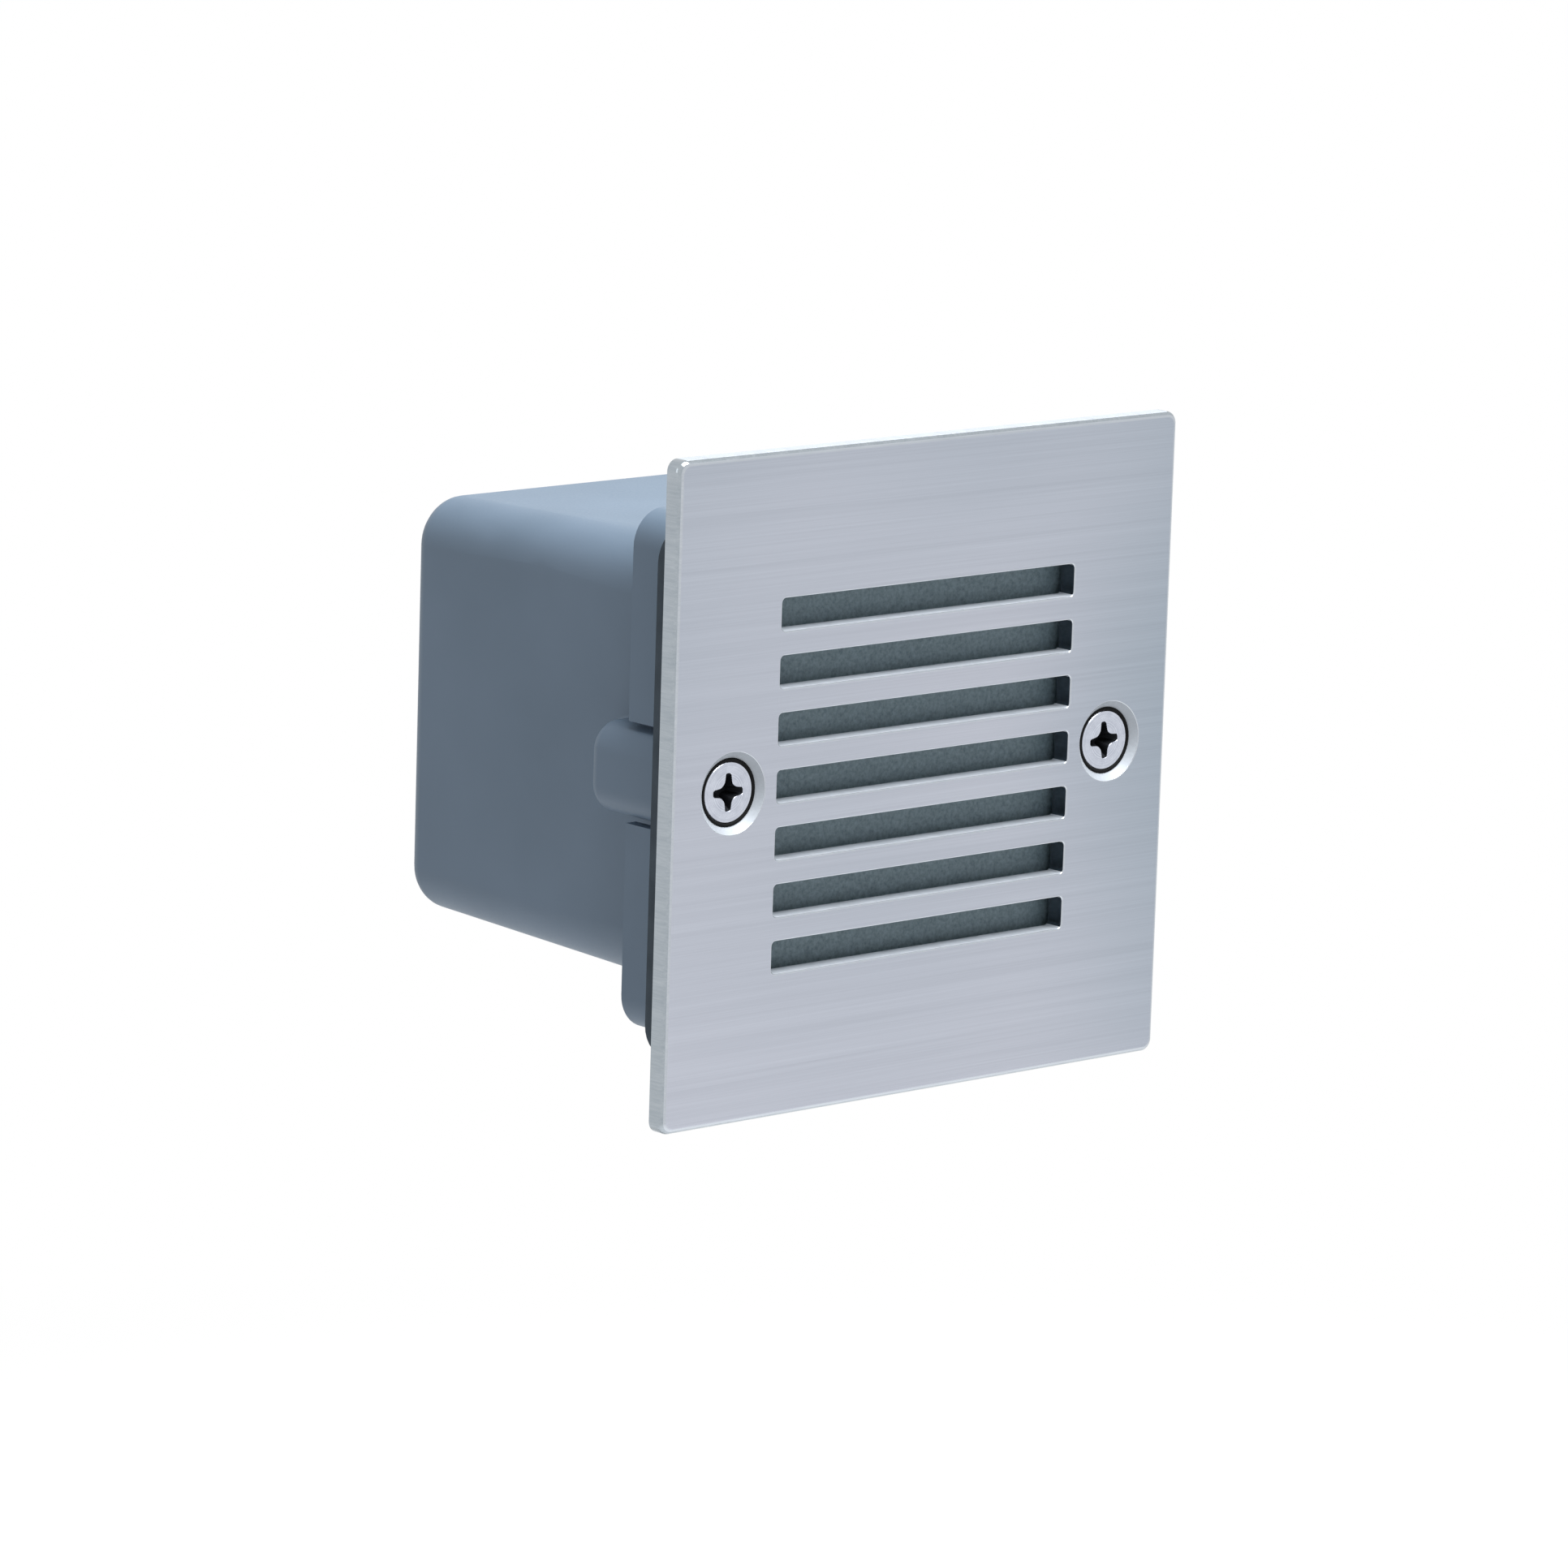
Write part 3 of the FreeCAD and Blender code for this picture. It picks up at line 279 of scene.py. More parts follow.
@dataclass(frozen=True)
class TurnedMetal(TwoToned):
    """Metal turned or headed on an axis along Y: fine rings about the axis and a few scuffs."""

    centre_mm: Pair = (0.0, 0.0)
    ring_mm: float = 0.18
    scuff_mm: float = 1.1111
    scuff_share: float = 0.4

    def build(self) -> Material:
        """Rings by their distance from the axis, and scuffs, drive tone and gloss.

        Returns:
            The material.
        """
        material, tree = new_material(self.name)
        place = add_node(tree, "TexCoord").outputs["Object"]
        middle = (-self.centre_mm[0] * MM, 0.0, -self.centre_mm[1] * MM)
        moved = add_node(tree, "VectorMath", {0: place, 1: middle}, operation="ADD")
        ring = add_node(tree, "Math", {0: from_axis(tree, moved.outputs["Vector"]),
                                       1: 1 / (self.ring_mm * MM)}, operation="MULTIPLY")
        rings = add_node(tree, "TexNoise", {"W": ring.outputs["Value"], "Scale": 1.0,
                                            "Detail": 3.0}, noise_dimensions="1D")
        scuffs = add_node(tree, "TexNoise", {"Vector": cells(tree, self.scuff_mm), "Scale": 1.0,
                                             "Detail": 3.0})
        tone = add_node(tree, "Mix", {"Factor": self.scuff_share, "A": rings.outputs["Fac"],
                                      "B": scuffs.outputs["Fac"]}).outputs["Result"]
        end_tree(tree, {**self.wander(tree, tone, tone, 0.8, 1.25), "Metallic": 1.0})
        return material


@dataclass(frozen=True)
class MouldedPlastic(TwoToned):
    """Injection-moulded plastic: even colour, a fine spark-eroded grain and faint flow clouds."""

    grain_mm: float = 0.35
    grain_bump: float = 0.25
    grain_depth_mm: float = 0.01
    gloss: float = 0.5
    cloud_mm: float = 28.5714

    def build(self) -> Material:
        """Clouds tint it; the grain dents it and varies the gloss.

        Returns:
            The material.
        """
        material, tree = new_material(self.name)
        clouds = add_node(tree, "TexNoise", {"Vector": cells(tree, self.cloud_mm), "Scale": 1.0,
                                             "Detail": 3.0}).outputs["Fac"]
        grain = add_node(tree, "TexNoise", {"Vector": cells(tree, self.grain_mm), "Scale": 1.0,
                                            "Detail": 2.0}).outputs["Fac"]
        dent = add_node(tree, "Bump", {"Height": grain, "Strength": self.grain_bump,
                                       "Distance": self.grain_depth_mm * MM})
        end_tree(tree, {**self.wander(tree, clouds, grain, 0.85, 1.15),
                        "Normal": dent.outputs["Normal"], "IOR": 1.53,
                        "Specular IOR Level": self.gloss})
        return material


@dataclass(frozen=True)
class FrostedGlass(TwoToned):
    """Float glass etched on both faces: it scatters what passes and looks matt, faintly green."""

    transmission: float
    speckle_mm: float = 0.6
    etch_mm: float = 0.4

    def build(self) -> Material:
        """Speckle tints it, the etch dents it, and part of the light passes.

        Returns:
            The material.
        """
        material, tree = new_material(self.name)
        etch = add_node(tree, "TexNoise", {"Vector": cells(tree, self.etch_mm), "Scale": 1.0,
                                           "Detail": 4.0}).outputs["Fac"]
        haze = add_node(tree, "TexNoise", {"Vector": cells(tree, self.speckle_mm), "Scale": 1.0,
                                           "Detail": 4.0, "Roughness": 0.7}).outputs["Fac"]
        dent = add_node(tree, "Bump", {"Height": etch, "Strength": 0.3, "Distance": 0.012 * MM})
        end_tree(tree, {**self.wander(tree, haze, etch, 0.9, 1.1),
                        "Normal": dent.outputs["Normal"], "IOR": 1.5,
                        "Transmission Weight": self.transmission})
        return material


@dataclass(frozen=True)
class Rubber(TwoToned):
    """Black elastomer with carbon filler: dull, with a dusty bloom in places."""

    roughness: float = 0.75
    pore_mm: float = 0.5
    gloss: float = 0.5
    bloom_mm: float = 5.5556

    def build(self) -> Material:
        """Bloom tints it, pores dent it.

        Returns:
            The material.
        """
        material, tree = new_material(self.name)
        bloom = add_node(tree, "TexNoise", {"Vector": cells(tree, self.bloom_mm), "Scale": 1.0,
                                            "Detail": 4.0}).outputs["Fac"]
        pores = add_node(tree, "TexVoronoi", {"Vector": cells(tree, self.pore_mm), "Scale": 1.0})
        dent = add_node(tree, "Bump", {"Height": pores.outputs["Distance"], "Strength": 0.4,
                                       "Distance": 0.03 * MM})
        end_tree(tree, {**self.wander(tree, bloom, bloom, 0.9, 1.0),
                        "Normal": dent.outputs["Normal"], "IOR": 1.5,
                        "Specular IOR Level": self.gloss})
        return material


@dataclass(frozen=True)
class MaskedBoard:
    """Circuit board under solder mask: copper tracks raise straight lines under the paint."""

    name: str
    mask: str
    track: str
    roughness: float = 0.35
    track_mm: float = 2.4

    def build(self) -> Material:
        """A brick pattern stands for tracks and the gaps between them.

        Returns:
            The material.
        """
        material, tree = new_material(self.name)
        place = add_node(tree, "TexCoord").outputs["Object"]
        turned = add_node(tree, "Mapping", {"Rotation": (math.pi / 2, 0.0, 0.0), "Vector": place})
        track, mask = linear(self.track), linear(self.mask)
        tracks = add_node(tree, "TexBrick", {
            "Vector": turned.outputs["Vector"], "Scale": 1 / (self.track_mm * MM),
            "Color1": track, "Color2": track, "Mortar": mask,
            "Mortar Size": 0.07, "Brick Width": 2.6, "Row Height": 0.9})
        dent = add_node(tree, "Bump", {"Height": tracks.outputs["Fac"], "Strength": 0.35,
                                       "Distance": 0.05 * MM}, invert=True)
        end_tree(tree, {"Base Color": tracks.outputs["Color"], "Roughness": self.roughness,
                        "Normal": dent.outputs["Normal"]})
        return material


@dataclass(frozen=True)
class LedPackage:
    """White ceramic package with a round window of yellow phosphor gel in its face."""

    name: str
    body: str
    window: str
    pitch_mm: float = 10.0
    window_mm: float = 1.05
    rim_mm: float = 0.063
    grain_mm: float = 0.25
    grain_share: float = 0.12
    roughness: float = 0.3

    def build(self) -> Material:
        """Distance from the nearest package's middle picks the colour.

        Returns:
            The material.
        """
        material, tree = new_material(self.name)
        half, body = self.pitch_mm * MM / 2, linear(self.body)
        edge, rim = self.window_mm * MM, self.rim_mm * MM
        place = add_node(tree, "TexCoord").outputs["Object"]
        moved = add_node(tree, "VectorMath", {0: place, 1: (half, 0.0, half)}, operation="ADD")
        near = add_node(tree, "VectorMath", {0: moved.outputs["Vector"], 1: (half, half, half),
                                             2: (-half, -half, -half)}, operation="WRAP")
        inside = add_node(tree, "MapRange", {
            "Value": from_axis(tree, near.outputs["Vector"]), "From Min": edge - rim,
            "From Max": edge + rim, "To Min": 1.0, "To Max": 0.0})
        grain = add_node(tree, "TexNoise", {"Vector": cells(tree, self.grain_mm), "Scale": 1.0,
                                            "Detail": 2.0})
        share = add_node(tree, "MapRange", {"Value": grain.outputs["Fac"],
                                            "To Max": self.grain_share})
        gel = add_node(tree, "Mix", {"Factor": share.outputs["Result"],
                                     COLOUR_A: linear(self.window), COLOUR_B: body},
                       data_type="RGBA")
        tone = add_node(tree, "Mix", {"Factor": inside.outputs["Result"], COLOUR_A: body,
                                      COLOUR_B: gel.outputs[COLOUR_OUT]}, data_type="RGBA")
        end_tree(tree, {"Base Color": tone.outputs[COLOUR_OUT], "Roughness": self.roughness})
        return material


@dataclass(frozen=True)
class Palette:
    """Every finish on the light.

    The plate's edges are rubbed smooth, so they mirror the pale surround. Its cut walls are torn by
    the tool and look matt and dull. The moulding is matt, and the pane hides what is behind it.
    """

    # The sheet's face carries painted shade in soft darker patches.
    stainless: BrushedSteel = BrushedSteel("brushed_stainless_sheet", "b5b9c4", "c1c5d0", 0.3,
                                           shade_tint="dde6e8")
    bright_edge: BrushedSteel = BrushedSteel("burnished_stainless_edge", "b4bac2", "c2c8cf", 0.14,
                                             0.3, 8.0, Direction.ALONG_X, 0.02)
    # Painted shade: the plate's sheared side wall is given a darker metal than the face.
    shaded_plate_side: BrushedSteel = BrushedSteel("sheared_side_painted_shade", "9ba4ab", "afb6bc", 0.16,
                                            0.3, 4.0, Direction.ALONG_Y, 0.03)
    # Painted shade: the punched end walls of the slots are given a much darker metal.
    slot_end_shade: BrushedSteel = BrushedSteel("slot_end_painted_shade", "6f757e", "7d838c", 0.16,
                                             0.2, 3.0, Direction.ALONG_Y, 0.04)
    cut_edge: BrushedSteel = BrushedSteel("cut_stainless_wall", "a9b0b8", "b9c0c8", 0.55, 0.3, 3.0,
                                          Direction.ALONG_Y, 0.1, 0.2)
    # Painted shade: the screws' cross recesses are coloured near black.
    recess: BrushedSteel = BrushedSteel("recess_painted_shade", "131519", "1e2126", 0.6, 0.2, 2.0,
                                        Direction.ALONG_Y, 0.1, 0.8)
    housing: MouldedPlastic = MouldedPlastic("moulded_grey_blue_abs", "637587", "6b7d90", 0.45,
                                             gloss=0.3)
    glass: FrostedGlass = FrostedGlass("etched_glass", "647a83", "98adb6", 0.5, 0.25)
    black_rubber: Rubber = Rubber("black_rubber", "0b0c0d", "131415", gloss=0.12)
    foam: Rubber = Rubber("grey_closed_cell_foam", "434c54", "505a63", 0.9, 0.8, 0.15)
    silicone: Rubber = Rubber("white_silicone", "c4c6c5", "d4d6d5", 0.6, 0.9)
    white_plastic: MouldedPlastic = MouldedPlastic("white_polycarbonate", "e2e2de", "ebebe7", 0.3)
    black_plastic: MouldedPlastic = MouldedPlastic("black_abs", "17181a", "202124", 0.45)
    cream_plastic: MouldedPlastic = MouldedPlastic("cream_nylon", "cfc7b0", "dcd5c0", 0.5)
    nylon: MouldedPlastic = MouldedPlastic("black_nylon", "1a1b1d", "242528", 0.5, 0.6)
    gear_sheet: BrushedSteel = BrushedSteel("rolled_aluminium", "b9bbbd", "d2d3d4", 0.35, 0.3, 30.0)
    zinc: TurnedMetal = TurnedMetal("zinc_plated_steel", "a9acb0", "cfd1d3", 0.28)
    brass: TurnedMetal = TurnedMetal("turned_brass", "b08d4a", "d0ae68", 0.26)
    white_board: MaskedBoard = MaskedBoard("white_masked_board", "dfe0dc", "edeeea")
    green_board: MaskedBoard = MaskedBoard("green_masked_board", "0f5a33", "17713f")
    package: LedPackage = LedPackage("led_package", "ecece6", "e3c64a")
    yellow_tape: MouldedPlastic = MouldedPlastic("winding_tape", "c79f24", "d8b23a", 0.35, 0.9)
    capacitor: MouldedPlastic = MouldedPlastic("shrunk_sleeve", "141a33", "1b2342", 0.25, 0.9)
    brown: MouldedPlastic = MouldedPlastic("brown_wire_pvc", "4a2a17", "55321d", 0.4, 0.6)
    blue: MouldedPlastic = MouldedPlastic("blue_wire_pvc", "1c4f9c", "2459a8", 0.4, 0.6)
    red: MouldedPlastic = MouldedPlastic("red_wire_silicone", "9c1414", "ab1d1d", 0.45, 0.6)
    black_wire: MouldedPlastic = MouldedPlastic("black_wire_silicone", "151515", "1f1f1f", 0.45,
                                                0.6)


# ------------ surfaces

def rounded_outline(width: float, height: float, radius: float, steps: int = 8,
                    centre: Pair = (0.0, 0.0)) -> np.ndarray:
    """Rounded rectangle: four quarter circles, anticlockwise from lower right, joined by lines.

    Args:
        width: full width.
        height: full height.
        radius: corner radius.
        steps: segments to a quarter circle.
        centre: middle of the rectangle.

    Returns:
        Points as rows of (x, z).
    """
    angle = np.linspace(0.0, math.pi / 2, steps + 1)
    turns = np.repeat(np.arange(4) * math.pi / 2, steps + 1) - math.pi / 2 + np.tile(angle, 4)
    ways = np.array([(1, -1), (1, 1), (-1, 1), (-1, -1)], float)
    centres = np.repeat(ways * (width / 2 - radius, height / 2 - radius), steps + 1, axis=0)
    return centres + radius * np.stack([np.cos(turns), np.sin(turns)], 1) + centre


def circle_outline(radius: float, steps: int, centre: Pair) -> np.ndarray:
    """Circle about centre, as rows of (x, z) in equal steps, anticlockwise."""
    angle = np.linspace(0.0, 2 * math.pi, steps, endpoint=False)
    return radius * np.stack([np.cos(angle), np.sin(angle)], 1) + centre


def cross_outline(centre: Pair, turn: float, scale: float) -> np.ndarray:
    """Mouth of a cross recess: one eighth of it, mirrored and turned into four tapered wings.

    Args:
        centre: (x, z) of the recess.
        turn: angle of the first wing from +X, in radians, anticlockwise seen from -Y.
        scale: size against the mouth's own.

    Returns:
        Points as rows of (x, z), anticlockwise.
    """
    eighth = np.array([(2.84, 0.2), (2.78, 0.42), (2.56, 0.54), (1.95, 0.61), (1.5, 0.69),
                       (1.2, 0.84), (1.02, 1.02)]) * MM * scale
    wing = np.concatenate([eighth, eighth[-2::-1, ::-1]])
    turned = [wing @ np.array([(math.cos(angle), math.sin(angle)),
                               (-math.sin(angle), math.cos(angle))])
              for angle in turn + np.arange(4) * math.pi / 2]
    return np.concatenate(turned) + centre


def quarter(start: Pair, end: Pair, steps: int) -> np.ndarray:
    """Quarter ellipse that leaves start along the inset and reaches end along y.

    Args:
        start: first (inset, y).
        end: last (inset, y).
        steps: segments.

    Returns:
        Rows of (inset, y).
    """
    angle = np.linspace(0.0, math.pi / 2, steps + 1)
    return np.column_stack([start[0] + (end[0] - start[0]) * np.sin(angle),
                            end[1] + (start[1] - end[1]) * np.cos(angle)])


def raise_rings(outline: Outline, profile: np.ndarray) -> Rings:
    """Carries a profile round an outline.

    Each row of the profile is (inset, y): the outline moved inwards by inset, at that y.

    Args:
        outline: function from an inset to rows of (x, z).
        profile: rows of (inset, y).

    Returns:
        The rings.
    """
    return np.array([np.insert(outline(inset), 1, depth, axis=1) for inset, depth in profile])


def polar_rings(radius: np.ndarray, depth: np.ndarray, angle: np.ndarray,
                centre: Pair) -> Rings:
    """Rings about an axis along Y: (centre + radius cos a, y, centre + radius sin a).

    Args:
        radius: rings by places.
        depth: each ring's y, as a column.
        angle: each place's angle a.
        centre: (x, z) of the axis.

    Returns:
        The rings.
    """
    return np.stack([centre[0] + radius * np.cos(angle), np.broadcast_to(depth, radius.shape),
                     centre[1] + radius * np.sin(angle)], 2)


@dataclass
class Surface:
    """Grows one mesh out of rings and flat caps."""

    points: list = field(default_factory=list)
    faces: list = field(default_factory=list)
    count: int = 0

    def tube(self, rings: Rings, flip: bool = False) -> tuple[int, int]:
        """Surface of two parameters: ring number, and place round the closed ring.

        Args:
            rings: the rings.
            flip: turns the faces the other way.

        Returns:
            Index of the first point of the first ring and of the last ring.
        """
        levels, around = rings.shape[:2]
        first = self.count
        self.points.append(rings.reshape(-1, 3))
        self.count += levels * around
        start = np.arange(levels - 1)[:, None] * around + first
        low, after = start + np.arange(around), start + (np.arange(around) + 1) % around
        quads = np.stack([low, after, after + around, low + around], 2).reshape(-1, 4)
        self.faces.extend((quads[:, ::-1] if flip else quads).tolist())
        return first, first + (levels - 1) * around

    def cap(self, loops: list[tuple[int, np.ndarray]], flip: bool) -> None:
        """Flat face with holes: a constrained triangulation of the loops, less what is in holes.

        A triangle stays where a line from its middle towards +X crosses the loops an odd
        number of times.

        Args:
            loops: first point's index and the (x, z) outline of each loop.
            flip: turns the faces the other way.
        """
        flat = np.concatenate([outline for _, outline in loops])
        index = np.concatenate([first + np.arange(len(outline)) for first, outline in loops])
        sizes = [len(outline) for _, outline in loops]
        after = np.concatenate([start + np.roll(np.arange(size), -1)
                                for start, size in zip(np.cumsum([0, *sizes]), sizes)])
        found = delaunay_2d_cdt([Vector(point) for point in flat],
                                list(enumerate(after.tolist())), [], 0, TINY)
        source = np.array([origin[0] for origin in found[3]])
        faces = source[np.array(found[2])]
        middle = flat[faces].mean(1)[:, None, :]
        rise = flat[after, 1] - flat[:, 1]
        slope = (flat[after, 0] - flat[:, 0]) / np.where(rise == 0.0, 1.0, rise)
        passed = (flat[:, 1] > middle[:, :, 1]) != (flat[after, 1] > middle[:, :, 1])
        ahead = flat[:, 0] + (middle[:, :, 1] - flat[:, 1]) * slope > middle[:, :, 0]
        kept = index[faces[(passed & ahead).sum(1) % 2 == 1]]
        self.faces.extend((kept[:, ::-1] if flip else kept).tolist())

    def finish(self, name: str, sharp_degrees: float = 35.0) -> Thing:
        """Makes the object, smooth but for edges sharper than sharp_degrees.

        Args:
            name: the object's name.
            sharp_degrees: angle between faces past which an edge stays sharp.

        Returns:
            The finished object, linked to the scene.
        """
        mesh = bpy.data.meshes.new(name)
        mesh.from_pydata(np.concatenate(self.points).tolist(), [], self.faces)
        return shaded_object(mesh, name, sharp_degrees, turn_out=True)


def shaded_object(mesh: bpy.types.Mesh, name: str, sharp_degrees: float,
                  turn_out: bool = False) -> Thing:
    """Merges a mesh's doubles, smooths it but for its sharp edges and weights its normals.

    Args:
        mesh: the mesh to finish.
        name: the object's name.
        sharp_degrees: angle between faces past which an edge stays sharp.
        turn_out: works out which way the faces point.

    Returns:
        The object, linked to the scene.
    """
    shape = bmesh.new()
    shape.from_mesh(mesh)
    bmesh.ops.remove_doubles(shape, verts=shape.verts, dist=MERGE)
    bmesh.ops.dissolve_degenerate(shape, edges=shape.edges, dist=TINY)
    if turn_out:
        bmesh.ops.recalc_face_normals(shape, faces=shape.faces)
    limit = math.radians(sharp_degrees)
    for edge in shape.edges:
        edge.smooth = edge.calc_face_angle(math.pi) < limit
    for face in shape.faces:
        face.smooth = True
    shape.to_mesh(mesh)
    shape.free()
    piece = bpy.data.objects.new(name, mesh)
    bpy.context.scene.collection.objects.link(piece)
    piece.modifiers.new("normals", "WEIGHTED_NORMAL").keep_sharp = True
    return piece


def pierced_plate(walls: list[Wall]) -> Surface:
    """Plate with holes: each wall's profile carried round its outline, and two flat faces.

    Args:
        walls: outline and profile, front to back, of the outer edge and then of each hole.

    Returns:
        The surface.
    """
    surface = Surface()
    front, back = [], []
    for outline, profile in walls:
        first, last = surface.tube(raise_rings(outline, profile))
        front.append((first, outline(profile[0, 0])))
        back.append((last, outline(profile[-1, 0])))
    surface.cap(front, flip=False)
    surface.cap(back, flip=True)
    return surface


# ------------ the light's pieces

class Piece:
    """Common work on every piece: its body, finish, slot and the frame node that it replaces."""

    @staticmethod
    def settle(piece: Thing, node: str, material: Material) -> None:
        """Gives a piece that stands for one frame node its material, slot and body.

        Args:
            piece: the finished object.
            node: the frame node it stands for.
            material: its finish.
        """
        record = frame["record"]
        bodies = {name: body for body, names in record["behaviour"]["bodies"].items()
                  for name in names}
        piece.data.materials.clear()
        piece.data.materials.append(material)
        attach(piece, bodies[node])
        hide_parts(node)
        LOG.info("%s stands for %s on body %s", piece.name, node, bodies[node])

    @staticmethod
    def paint(piece: Thing, material: Material, test: FaceTest) -> None:
        """Gives one more material to the faces that pass a test.

        Args:
            piece: the object.
            material: the added material.
            test: function from the faces' middles and normals, each as three rows for X, Y and
                Z, to an array of truths.
        """
        mesh = piece.data
        mesh.materials.append(material)
        centres, normals = np.empty((2, len(mesh.polygons) * 3))
        present = np.empty(len(mesh.polygons), np.int32)
        mesh.polygons.foreach_get("center", centres)
        mesh.polygons.foreach_get("normal", normals)
        mesh.polygons.foreach_get("material_index", present)
        chosen = test(centres.reshape(-1, 3).T, normals.reshape(-1, 3).T)
        present[chosen] = len(mesh.materials) - 1
        mesh.polygons.foreach_set("material_index", present)

    @staticmethod
    def smooth_copy(node: str, name: str, sharp_degrees: float = 30.0) -> Thing:
        """Copies a frame node's solid, merged and smoothed, so that its rounds shade as rounds."""
        return shaded_object(frame["nodes"][node].data.copy(), name, sharp_degrees)

    def dress(self, finishes: dict) -> None:
        """Smooths and dresses frame nodes whose shapes stay as they are.

        Args:
            finishes: each finish with the names of its nodes.
        """
        for finish, nodes in finishes.items():
            material = finish.build()
            for node in nodes:
                self.settle(self.smooth_copy(node, f"{node}_piece"), node, material)


@dataclass
class Faceplate(Piece):
    """Slotted stainless plate: rounded outer edge, broken slot edges, countersunk holes.

    The last four values sort its faces for paint, by parts of their normals.
    """

    corner: float = 1.8 * MM
    corner_shrink: float = 0.6
    corner_steps: int = 10
    edge_round: float = 1.0 * MM
    edge_steps: int = 8
    slot_width: float = 58.8 * MM
    slot_height: float = 4.9 * MM
    slot_corner: float = 0.7 * MM
    slot_corner_steps: int = 6
    slot_pitch: float = 8.57 * MM
    slots: int = 7
    slot_break: float = 0.25 * MM
    slot_break_steps: int = 3
    sink_hole: float = 3.3 * MM
    sink_depth: float = 2.9 * MM
    sink_break: float = 0.12 * MM
    sink_steps: int = 72
    back_break: float = 0.12 * MM
    flat_face: float = 0.97
    side_faces: Pair = (-0.85, 0.9)
    wall_faces: float = 0.35
    slot_ends: float = 0.7

    def walls(self) -> list[Wall]:
        """The outer edge, then the slots and the countersunk holes.

        The inset of a slot or hole counts from its narrowest, so a negative one widens it.

        Returns:
            Outline and profile of each.
        """
        low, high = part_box("faceplate")
        side = high.x - low.x
        edge = np.concatenate([
            quarter((self.edge_round, low.y), (0.0, low.y + self.edge_round), self.edge_steps),
            [(0.0, high.y - self.back_break), (self.back_break, high.y)]])
        slot = np.concatenate([
            quarter((-self.slot_break, low.y), (0.0, low.y + self.slot_break),
                    self.slot_break_steps), [(0.0, high.y)]])
        sink = np.array([(-self.sink_depth - self.sink_break, low.y),
                         (-self.sink_depth, low.y + self.sink_break / 2),
                         (0.0, low.y + self.sink_depth), (0.0, high.y)])
        found = [(lambda inset: rounded_outline(
            side - 2 * inset, side - 2 * inset, self.corner - inset * self.corner_shrink,
            self.corner_steps), edge)]
        found += [(lambda inset, z=level: rounded_outline(
            self.slot_width - 2 * inset, self.slot_height - 2 * inset, self.slot_corner - inset,
            self.slot_corner_steps, (0.0, z)), slot) for level in self.slot_levels()]
        return found + [(lambda inset, x=across: circle_outline(
            self.sink_hole - inset, self.sink_steps, (x, 0.0)), sink)
            for across in (-SCREW_PLACE, SCREW_PLACE)]

    def slot_levels(self) -> np.ndarray:
        """Returns the z of each slot's middle."""
        return (np.arange(self.slots) - (self.slots - 1) / 2) * self.slot_pitch

    def build(self, palette: Palette) -> None:
        """Builds the plate and paints its rounded and cut edges, and painted shade on its sheared
        side and its punched slot ends.

        Args:
            palette: the finishes.
        """
        piece = pierced_plate(self.walls()).finish("faceplate_slotted")
        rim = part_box("faceplate")[1].x - self.edge_round
        inner = self.slot_width / 2 + MM
        self.settle(piece, "faceplate", palette.stainless.build())
        self.paint(piece, palette.bright_edge.build(), lambda place, normal: (
            (abs(normal[1]) < self.flat_face) & (normal[1] < 0.0)))
        # Painted shade: the side wall gets the darker metal.
        self.paint(piece, palette.shaded_plate_side.build(), lambda place, normal: (
            (np.maximum(abs(place[0]), abs(place[2])) > rim)
            & (normal[1] > self.side_faces[0]) & (normal[1] < self.side_faces[1])))
        self.paint(piece, palette.cut_edge.build(), lambda place, normal: (
            (abs(place[0]) < inner) & (abs(normal[1]) < self.wall_faces)
            | (np.hypot(abs(place[0]) - SCREW_PLACE, place[2]) < self.sink_hole + self.sink_depth)))
        # Painted shade: the slot end walls get the much darker metal.
        self.paint(piece, palette.slot_end_shade.build(), lambda place, normal: (
            (abs(place[0]) < inner) & (abs(normal[0]) > self.slot_ends)
            & (abs(normal[1]) < self.wall_faces)))


